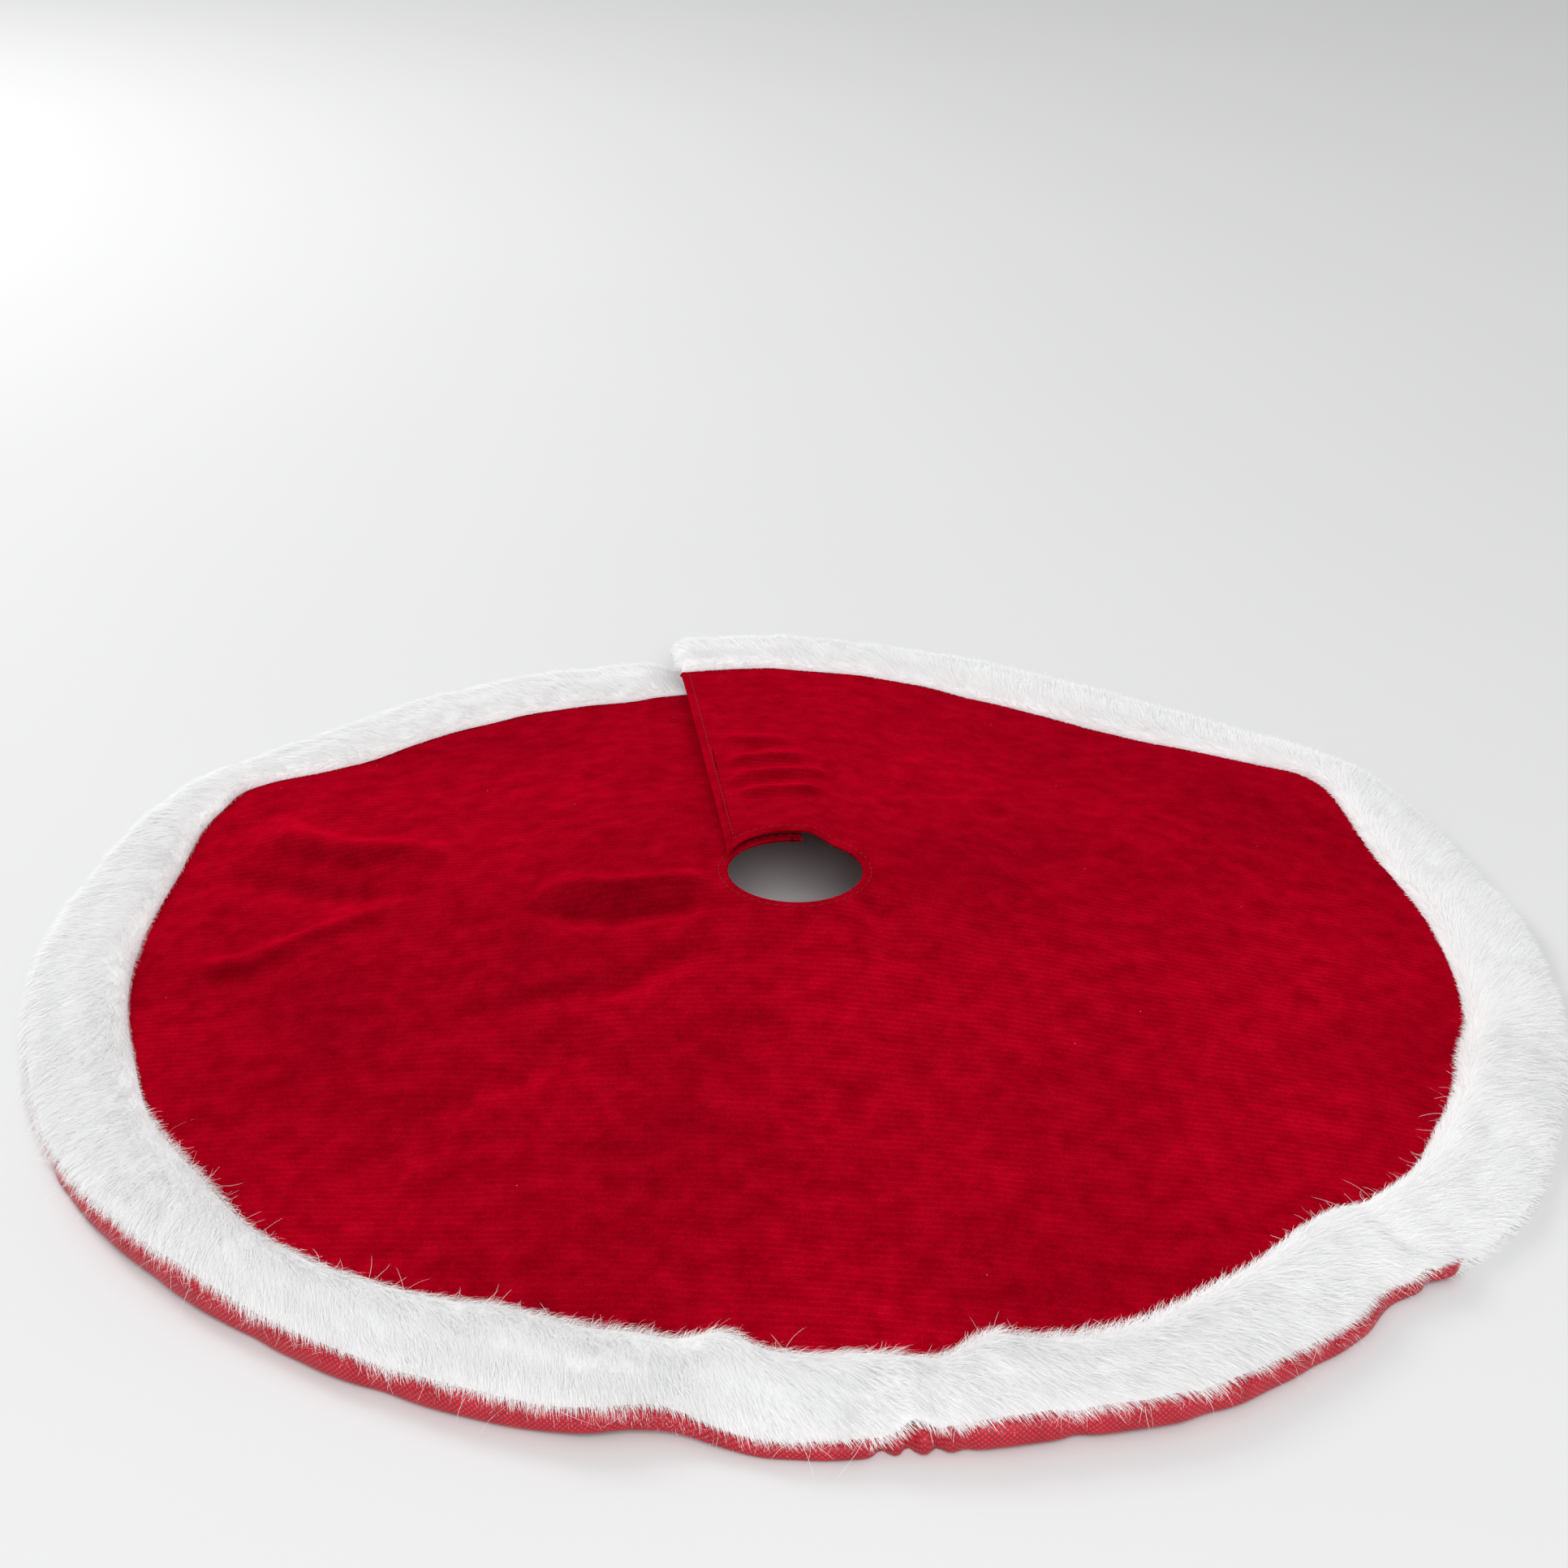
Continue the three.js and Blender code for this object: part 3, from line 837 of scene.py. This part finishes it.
def pucker(azimuth, radius, height):
    """Small gathers and an uneven fullness along the roll, in place."""
    full = layers(ring_hills, azimuth, 0, FULLNESS)
    pinch = bumps_at(azimuth, GATHERS)
    drawn_in = DRAWN_IN_AT_SLIT * near_slit(*plan(azimuth, SEAM))
    follows = np.clip((np.arange(radius.shape[1]) - FIRST_ROLL) / ROWS_THAT_FOLLOW + 1, 0, 1)
    radius += (full - pinch - drawn_in) * follows
    height[:, FIRST_ROLL:] += (0.3 * full - 0.25 * pinch)[:, FIRST_ROLL:]
    np.maximum(height, CLEAR_OF_TABLE, out=height)


# ---------------------------------------------------------------- fur

FUR_ROWS = 44
FUR_CROWN = 4.2
FULLER_AT_BACK = 0.4
DOME_SQUARENESS = 0.85
# The slit's ends are rounded over this length, and the fur's outer edge is turned in by this much.
END_ROUNDING = 7.0
TURNED_IN = 4.0
# How far inside the lining's nose the underpile ends, at the back and at the front.
FUR_INSET_BACK = -0.8
FUR_INSET_FRONT = 3.3
# Height of the outer edge where it lies on the table, and its share of the roll where it shows.
LOW_EDGE = 0.7
EDGE_ON_ROLL = 0.84
# Where the flap presses the pile down: mm past the flap's edge, and the height that is left.
PRESSED = (-2.0, 14.0)
PRESSED_HEIGHT = 0.3
# Lumps of the pile: height, size and seed.
LUMPS = [(0.6, 26, 31), (0.3, 9, 32)]
# Soft creases across the band: azimuth and half width in degrees, depth in mm.
CREASES = [
    (-42, 1.6, 3.0), (-25, 2.0, 1.6), (-12, 1.8, 1.4), (2, 2.2, 1.8), (17, 2.0, 1.4),
    (165, 2.0, 1.6), (180, 2.4, 1.3), (-97, 2.4, 2.0), (-84, 1.2, 1.4), (-150, 2.0, 0.8),
]
CREASE_SLANT = 0.35

HAIR_LENGTH = 7.5
HAIR_WIDTH = 0.15
HAIR_TAPER = 0.4
HAIR_STEPS = 3
LOWEST_HAIR = 0.25
# Shares of the hairs that have each of the three tints.
TINT_SHARES = [0.6, 0.22, 0.18]
# Hairs on each square millimetre, and the width over the dome that they are spread over.
HAIR_DENSITY = 4.0
DOME_WIDTH = 58
CLUMP_SIZE = 3.6

STRAY_STEPS = 7
STRAY_WIDTH = 0.085
STRAYS_OVER_VELVET = 480
STRAYS_OVER_LINING = 1500
STRAY_CLEARANCE = 0.3


def fur_outer(azimuth):
    """Radius of the underpile's outer edge."""
    inset = FUR_INSET_BACK + (FUR_INSET_FRONT - FUR_INSET_BACK) * lining_shows(azimuth)
    return rim_radius(azimuth) - inset + bumps_at(azimuth, FUR_DROOPS)


def fur_foot(azimuth, share):
    """Height of the band's foot, from the velvet at the seam down to the roll or the table."""
    inner = velvet_height(seam_radius(azimuth), azimuth, False)
    above_low = (EDGE_ON_ROLL * roll_height(azimuth) - LOW_EDGE) * lining_shows(azimuth)
    outer = LOW_EDGE + rim_lift(azimuth) + above_low - bumps_at(azimuth, FUR_DROOPS)
    return inner + (outer - inner) * smoothstep(share, 0.0, 1.0)


def fur_shape(azimuth, share, lift):
    """Point on the fur's underpile. share runs from 0 at the seam to 1 at the outer edge."""
    inner = seam_radius(azimuth)
    outer = fur_outer(azimuth)
    over = np.cos(math.pi * (1 - share))
    over = np.sign(over) * np.abs(over) ** DOME_SQUARENESS
    up = np.abs(np.sin(math.pi * (1 - share)))
    radius = (inner + outer) / 2 + (outer - inner) / 2 * over
    crown = FUR_CROWN * (1 + FULLER_AT_BACK * (1 - front_share(azimuth)))
    crown = crown + layers(ring_hills, azimuth, radius - SEAM, LUMPS)
    dome = up ** (1.0 - 0.35 * smoothstep(share, 0.3, 0.7)) * crown * end_share(azimuth, radius, lift)
    creases = bumps_at(azimuth + (radius - SEAM) / SEAM * CREASE_SLANT, CREASES)
    height = fur_foot(azimuth, share) + dome - creases * up
    if lift:
        height = height + flap_lift(radius, azimuth)
    return points_at(azimuth, radius, height)


def rounded(distance):
    """The share of the full height at a distance from a rounded end."""
    share = np.clip(distance / END_ROUNDING, 0, 1)
    return np.sqrt(share * (2 - share))


def end_share(azimuth, radius, lift):
    """The pile's share of its full height: rounded off at the slit, and pressed by the flap."""
    past_flap = (azimuth - over_edge(radius)) * radius
    if lift:
        return rounded(-past_flap)
    free = PRESSED_HEIGHT + (1 - PRESSED_HEIGHT) * smoothstep(past_flap, *PRESSED)
    return rounded((azimuth - under_edge(radius)) * radius) * free


def band_azimuth(part, place, share):
    """Azimuth at a place from 0 to 1 along the part's band, whose ends follow the slit."""
    slit = np.array(SLIT)
    radius = seam_radius(slit) + (rim_radius(slit) - seam_radius(slit)) * share
    return part["start"](radius) + place * (part["end"](radius) - part["start"](radius))


def fur_base(part, columns):
    """The underpile as a domed sheet. Its last row turns in, so that no gap shows at the roll."""
    place = np.linspace(0, 1, columns)[:, None]
    share = np.linspace(0, 1, FUR_ROWS)[None, :]
    azimuth = band_azimuth(part, place, share)
    points = fur_shape(azimuth, share + 0 * place, part["lift"])
    outer = points[:, -1]
    turned_in = outer - unit(outer * (1, 1, 0)) * TURNED_IN
    points = np.concatenate([points, turned_in[:, None]], axis=1)
    faces = grid_faces(columns, FUR_ROWS + 1)
    return mesh_piece(f"fur_underpile_{part['name']}", points, faces, UNDERPILE)


def unit(vectors):
    """Vectors of length 1."""
    return vectors / np.maximum(np.linalg.norm(vectors, axis=1), 1e-9)[:, None]


def fur_roots(part, first, last, rng):
    """Random roots on the underpile between two places on it, with normals and ways across it."""
    area = part_share(part) * TURN * SEAM * DOME_WIDTH
    count = int((last - first) * area * HAIR_DENSITY)
    place = rng.uniform(first, last, count)
    share = rng.uniform(0.015, 0.985, count)
    azimuth = band_azimuth(part, place, share)
    small = 1e-3
    here = fur_shape(azimuth, share, part["lift"])
    round_way = fur_shape(azimuth + small, share, part["lift"]) - here
    across = fur_shape(azimuth, share + small, part["lift"]) - here
    cross = np.cross(across, round_way)
    stretch = np.linalg.norm(cross, axis=1)
    # Fewer roots are kept where the dome is crowded, so that the pile is even.
    kept = rng.uniform(0, np.quantile(stretch, 0.9), count) < stretch
    found = (here, unit(cross), unit(across), unit(round_way), azimuth, share)
    return [values[kept] for values in found]


def pile_length(azimuth, share):
    """Hairs are clipped short along the seam, and at the front where they meet the roll."""
    seam_side = 0.38 + 0.62 * smoothstep(share, 0.03, 0.3)
    outer_side = 1 - 0.25 * lining_shows(azimuth) * smoothstep(share, 0.72, 0.95)
    return HAIR_LENGTH * seam_side * outer_side


def hair_paths(part, first, last, rng):
    """Points along each hair, which leaves the underpile, leans over and lies along it."""
    root, normal, across, round_way, azimuth, share = fur_roots(part, first, last, rng)
    count = len(root)
    # The pile is combed outwards and to one side, and its lean swirls from place to place.
    swirl = ring_hills(azimuth, share * BAND, 24, 41)[:, None]
    side = ring_hills(azimuth, share * BAND, 60, 42)[:, None]
    outwards = smoothstep(share, 0.05, 0.5)[:, None]
    comb = across * (0.75 * outwards - 0.1 + 0.12 * swirl) + round_way * (0.45 + 0.25 * side)
    # Each hair starts with its own lean, and each step presses it down and along the comb.
    way = unit(normal * 0.5 + comb + rng.normal(0, 0.13, (count, 3)))
    press = 0.4 + 0.35 * rng.uniform(0, 1, count)[:, None]
    pull = comb * 0.5 - normal * press * 0.45 - UP * 0.1 + rng.normal(0, 0.08, (count, 3))
    at_end = end_share(azimuth, np.hypot(root[:, 0], root[:, 1]), part["lift"])
    long = rng.uniform(0.6, 1.1, count) * (0.55 + 0.45 * at_end) * pile_length(azimuth, share)
    points = [root - normal * 0.3]
    for _ in range(HAIR_STEPS):
        points.append(points[-1] + way * long[:, None] / HAIR_STEPS)
        way = unit(way + pull)
    points = np.stack(points, axis=1)
    gather_clumps(points, azimuth, share, rng)
    points[:, :, 2] = np.maximum(points[:, :, 2], LOWEST_HAIR)
    return points, normal


def gather_clumps(points, azimuth, share, rng):
    """Draws the tips of neighbouring hairs together, in place, so that they form small tufts."""
    around = azimuth * RIM / CLUMP_SIZE + 0.8 * ring_hills(azimuth, share * BAND, 9, 51)
    over = share * 1.6 * BAND / CLUMP_SIZE + 0.8 * ring_hills(azimuth, share * BAND, 9, 52)
    # 64 is more than the clumps across the band, so that each clump has its own number.
    clump = np.floor(around).astype(int) * 64 + np.floor(over).astype(int)
    _, label = np.unique(clump, return_inverse=True)
    members = np.bincount(label)
    at_edge = np.maximum(1 - smoothstep(share, 0.0, 0.12), smoothstep(share, 0.8, 0.95))
    strength = (rng.uniform(0.0, 0.6, len(points)) * (0.16 + 0.84 * at_edge))[:, None]
    for index, amount in ((HAIR_STEPS - 1, 0.35), (HAIR_STEPS, 1.0)):
        sums = [np.bincount(label, points[:, index, axis]) for axis in range(3)]
        middle = np.stack(sums, axis=1) / members[:, None]
        points[:, index] += (middle[label] - points[:, index]) * strength * amount


def hair_mesh(name, points, facing, width, rng):
    """Hairs as thin tapered blades along their points, roughly facing one way."""
    count = len(points)
    steps = points.shape[1] - 1
    along = unit(points[:, -1] - points[:, 0])
    side = unit(np.cross(along, facing + rng.normal(0, 0.25, (count, 3))))
    half = side * (width / 2 * rng.uniform(0.7, 1.2, count))[:, None]
    vertices = []
    for index in range(steps):
        share = 1 - HAIR_TAPER * (index / (steps - 1)) ** 1.5
        vertices += [points[:, index] - half * share, points[:, index] + half * share]
    vertices.append(points[:, -1])
    first = (np.arange(count) * (2 * steps + 1))[:, None]
    blades = [first + [2 * k, 2 * k + 1, 2 * k + 3, 2 * k + 2] for k in range(steps - 1)]
    tip = first + [2 * steps - 2, 2 * steps - 1, 2 * steps]
    corners = np.concatenate(blades + [tip], axis=1).ravel()
    sizes = np.tile([4] * (steps - 1) + [3], count)
    piece = new_piece(name, np.stack(vertices, axis=1), corners, sizes, HAIR)
    tint = rng.choice(len(HAIR), count, p=TINT_SHARES)
    piece.data.polygons.foreach_set("material_index", np.repeat(tint, steps).astype(np.int32))
    return piece


def fur_pile(part, pieces, seed):
    """The pile of one part, shared out over several pieces of hair."""
    made = []
    for index in range(pieces):
        rng = np.random.default_rng(seed + index)
        points, normal = hair_paths(part, index / pieces, (index + 1) / pieces, rng)
        name = f"fur_pile_{part['name']}_{index + 1}"
        made.append(hair_mesh(name, points, normal, HAIR_WIDTH, rng))
    return made


def surface_below(points):
    """Height of the velvet, the roll or the table under points of stray hairs."""
    radius = np.hypot(points[:, :, 0], points[:, :, 1])
    azimuth = np.arctan2(points[:, :, 1], points[:, :, 0])
    half = roll_height(azimuth) / 2
    out = np.clip((radius - rim_radius(azimuth) + half) / half, 0, 1)
    climb = (1 - out ** (2 / ROLL_SQUARENESS)) ** (ROLL_SQUARENESS / 2)
    roll = np.where(out < 1, rim_lift(azimuth) + half * (1 + climb), 0)
    velvet = velvet_height(radius, azimuth, False)
    return np.where(radius < seam_radius(azimuth), velvet, roll) + STRAY_CLEARANCE


def stray_paths(azimuth, share, outward, length, rng):
    """Points along fine curved hairs that leave the band's edge inwards (-1) or outwards (1)."""
    count = len(azimuth)
    away = outward * points_at(azimuth, 1, 0 * azimuth)
    sideways = np.cross(UP, away) * rng.normal(0, 0.6, count)[:, None]
    way = unit(away * 0.8 + sideways + UP * rng.uniform(0.1, 0.7, count)[:, None])
    curl = rng.normal(0, 0.09, (count, 3)) - UP * 0.13
    points = [fur_shape(azimuth, share, False)]
    for _ in range(STRAY_STEPS):
        points.append(points[-1] + way * (length / STRAY_STEPS)[:, None])
        way = unit(way + curl)
    points = np.stack(points, axis=1)
    points[:, :, 2] = np.maximum(points[:, :, 2], surface_below(points))
    return points


def stray_hairs():
    """Fine single hairs that have worked loose along the front, on both edges of the band."""
    rng = np.random.default_rng(77)

    def draw(count, first, last, nearest, furthest, least, mean):
        """Random azimuths in degrees, shares across the band and lengths."""
        azimuth = rng.uniform(math.radians(first), math.radians(last), count)
        return azimuth, rng.uniform(nearest, furthest, count), least + rng.exponential(mean, count)

    inner, inner_share, inner_length = draw(STRAYS_OVER_VELVET, -152, -18, 0.02, 0.12, 1.6, 2.0)
    outer, outer_share, outer_length = draw(STRAYS_OVER_LINING, -165, -40, 0.85, 0.97, 2.5, 2.0)
    points = [
        stray_paths(inner, inner_share, -1, inner_length, rng),
        stray_paths(outer, outer_share, 1, outer_length, rng),
    ]
    return hair_mesh("fur_stray_hairs", np.concatenate(points), UP, STRAY_WIDTH, rng)


# ---------------------------------------------------------------- sewing

STITCH = 2.3
STITCH_GAP = 0.7
STITCH_SIDES = 6
# Places along one stitch, and how high its back arches at each.
STITCH_SHARES = np.linspace(0, 1, 6)
STITCH_ARCH = np.sin(math.pi * STITCH_SHARES)
HEM_THREAD = 0.5
SEAM_THREAD = 0.45
# How far inside an edge a hem's stitches run, and how far the rows stop short of the slit's ends.
HEM_MARGIN = 3.0
SLIT_ROW_FROM = 28.0
SLIT_ROW_SHORT = 5


def stitch_faces():
    """Faces of one stitch: its sides, then its two ends."""
    faces = []
    rows = len(STITCH_SHARES)
    for low in range(0, (rows - 1) * STITCH_SIDES, STITCH_SIDES):
        for turn in range(STITCH_SIDES):
            after = (turn + 1) % STITCH_SIDES
            above = low + STITCH_SIDES
            faces.append([low + turn, low + after, above + after, above + turn])
    faces.append(list(reversed(range(STITCH_SIDES))))
    faces.append([(rows - 1) * STITCH_SIDES + turn for turn in range(STITCH_SIDES)])
    return faces


def stitch_row(name, path, thickness, material):
    """Separate stitches along a path of points in mm, each a small rod that dips at its ends."""
    lengths = np.concatenate([[0], np.cumsum(np.linalg.norm(np.diff(path, axis=0), axis=1))])
    starts = np.arange(0, lengths[-1] - STITCH, STITCH + STITCH_GAP)
    at = starts[:, None] + STITCH_SHARES * STITCH
    centre = np.stack([np.interp(at, lengths, path[:, axis]) for axis in range(3)], axis=-1)
    centre[:, :, 2] += thickness * (0.75 * STITCH_ARCH**0.5 - 0.55)
    along = unit(centre[:, -1] - centre[:, 0])
    side = unit(np.cross(along, UP))
    over = np.cross(side, along)
    spin = (np.arange(STITCH_SIDES) / STITCH_SIDES * TURN)[:, None]
    ring = side[:, None, None] * np.cos(spin) + over[:, None, None] * np.sin(spin)
    fat = (thickness / 2 * (0.45 + 0.55 * STITCH_ARCH**0.4))[:, None, None]
    points = centre[:, :, None] + ring * fat
    block = len(STITCH_SHARES) * STITCH_SIDES
    one = stitch_faces()
    faces = [[block * index + k for k in face] for index in range(len(starts)) for face in one]
    return mesh_piece(name, points, faces, material)


def round_path(part, radius_at, height_at):
    """Points round the tree between the part's edges, at a radius and a height for each azimuth."""
    rough = float(radius_at(np.array(HINGE)))
    start = float(part["start"](rough)) + (HEM_MARGIN / rough if part["hem_start"] else 0)
    end = float(part["end"](rough)) - (HEM_MARGIN / rough if part["hem_end"] else 0)
    azimuth = np.linspace(start, end, 700)
    radius = radius_at(azimuth)
    return points_at(azimuth, radius, height_at(radius, azimuth))


def slit_path(offset, lift):
    """Points along the slit at an offset, on the velvet."""
    first = math.sqrt(SLIT_ROW_FROM**2 - offset**2)
    along = np.linspace(first, float(seam_radius(SLIT)) - SLIT_ROW_SHORT, 400)
    x, y = on_slit(along, offset)
    radius, azimuth = np.hypot(x, y), np.arctan2(y, x)
    return np.stack([x, y, velvet_height(radius, azimuth, lift)], axis=1)


def add_sewing(part):
    """The part's rows of stitches: each piece, the CAD node it stands for and its slot."""
    lift = part["lift"]

    def on_velvet(radius, azimuth):
        return velvet_height(radius, azimuth, lift)

    def in_rim(radius, azimuth):
        raised = flap_lift(radius, azimuth) if lift else 0
        return roll_height(azimuth) + rim_lift(azimuth) + raised - 0.3

    def hole_row(azimuth):
        return HOLE + HEM_MARGIN + 0 * azimuth

    def band_row(azimuth):
        return seam_radius(azimuth) + 0.8

    def rim_row(azimuth):
        return rim_radius(azimuth) - roll_height(azimuth) / 2 - 4.0

    beside_slit = OVER_OFFSET - HEM_MARGIN if lift else UNDER_OFFSET + HEM_MARGIN
    rows = [
        ("hole_stitching", round_path(part, hole_row, on_velvet), HEM_THREAD, "red_thread"),
        ("band_seam", round_path(part, band_row, on_velvet), SEAM_THREAD, "white_thread"),
        ("rim_seam", round_path(part, rim_row, in_rim), SEAM_THREAD, "red_thread"),
        ("slit_stitching", slit_path(beside_slit, lift), HEM_THREAD, "red_thread"),
    ]
    made = []
    for row, path, thickness, slot in rows:
        node = f"{row}_{part['name']}"
        material = WHITE_THREAD if slot == "white_thread" else RED_THREAD
        made.append((stitch_row(f"{node}_stitches", path, thickness, material), node, slot))
    return made


# ---------------------------------------------------------------- building the object


def carry(piece, part):
    """Lets a piece stay with the skirt, or bakes a flap piece's place into its points."""
    if part["lift"]:
        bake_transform(piece)
    else:
        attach(piece, "skirt")


def part_share(part):
    """The part's share of a full turn."""
    return float(part["end"](RIM) - part["start"](RIM)) / TURN


def add_part(part, velvet_columns, fur_columns, pile_pieces, seed, strays):
    """One part's three cloths, its pile and its sewing, carried, with the CAD nodes they stand for
    hidden.
    """
    name = part["name"]
    velvet = velvet_part(part, velvet_columns)
    lining = lining_part(part, velvet_columns)
    fur = fur_base(part, fur_columns)
    pile = fur_pile(part, pile_pieces, seed) + strays
    sewing = add_sewing(part)
    turn = part_share(part)
    pieces = [
        (velvet, f"velvet_{name}", "velvet"),
        (lining, f"lining_{name}", "lining"),
        (fur, f"fur_band_{name}", "fur"),
    ] + sewing
    for piece, node, slot in pieces:
        carry(piece, part)
        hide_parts(node)
    for piece in pile:
        carry(piece, part)


def carried_over():
    """Materials on the CAD nodes that are shown as they are."""
    finishes = {"care_label": LABEL}
    for place in ("inner", "outer"):
        finishes[f"hook_tab_{place}"] = HOOK_TAPE
        finishes[f"loop_tab_{place}"] = LOOP_TAPE
        finishes[f"hook_tab_stitching_{place}"] = RED_THREAD
        finishes[f"loop_tab_stitching_{place}"] = RED_THREAD
    for node, material in finishes.items():
        for slot in frame["nodes"][node].material_slots:
            slot.link = "OBJECT"
            slot.material = material


# ---------------------------------------------------------------- camera, floor and light


def add_camera():
    """The view from in front and above."""
    target = Vector((-0.0042, 0.1404, 0.0))
    elevation = math.radians(26.24)
    distance = 1.0946
    forward = Vector((0, math.cos(elevation), -math.sin(elevation)))
    right = Vector((1, 0, 0))
    upward = right.cross(forward)
    roll = math.radians(0.92)
    tilted_right = right * math.cos(roll) + upward * math.sin(roll)
    tilted_upward = upward * math.cos(roll) - right * math.sin(roll)
    data = bpy.data.cameras.new("camera")
    data.lens = 65.51
    data.sensor_width = 36.0
    camera = bpy.data.objects.new("camera", data)
    turned = Matrix((tilted_right, tilted_upward, -forward)).transposed().to_4x4()
    camera.matrix_world = Matrix.Translation(target - forward * distance) @ turned
    bpy.context.scene.collection.objects.link(camera)
    bpy.context.scene.camera = camera


def add_floor():
    """A wide pale floor."""
    reach = 8000.0
    points = [(-reach, -reach, 0), (reach, -reach, 0), (reach, reach, 0), (-reach, reach, 0)]
    floor = mesh_piece("table", points, [[0, 1, 2, 3]], floor_material())


def add_area_light(name, place, size, power):
    """A soft square lamp that points at the skirt's middle."""
    data = bpy.data.lights.new(name, "AREA")
    data.shape = "SQUARE"
    data.size = size
    data.energy = power
    lamp = bpy.data.objects.new(name, data)
    lamp.location = place
    lamp.rotation_euler = (-Vector(place)).to_track_quat("-Z", "Y").to_euler()
    bpy.context.scene.collection.objects.link(lamp)


def add_light():
    """Even light from all round, with a soft lamp behind on the left and one in front."""
    world = bpy.data.worlds.new("studio")
    world.use_nodes = True
    sky = world.node_tree.nodes["Background"]
    sky.inputs["Color"].default_value = (0.99, 0.995, 1.0, 1.0)
    sky.inputs["Strength"].default_value = 0.56
    bpy.context.scene.world = world
    bpy.context.scene.view_settings.view_transform = "Standard"
    add_area_light("lamp_above", (-1.2, 1.2, 1.0), 0.6, 15)
    add_area_light("lamp_front", (0.2, -1.7, 1.4), 1.2, 27)


add_camera()
add_floor()
add_light()
add_part(skirt_part(), velvet_columns=900, fur_columns=1500, pile_pieces=5, seed=100,
         strays=[stray_hairs()])
add_part(flap_part(), velvet_columns=260, fur_columns=440, pile_pieces=2, seed=200, strays=[])
carried_over()
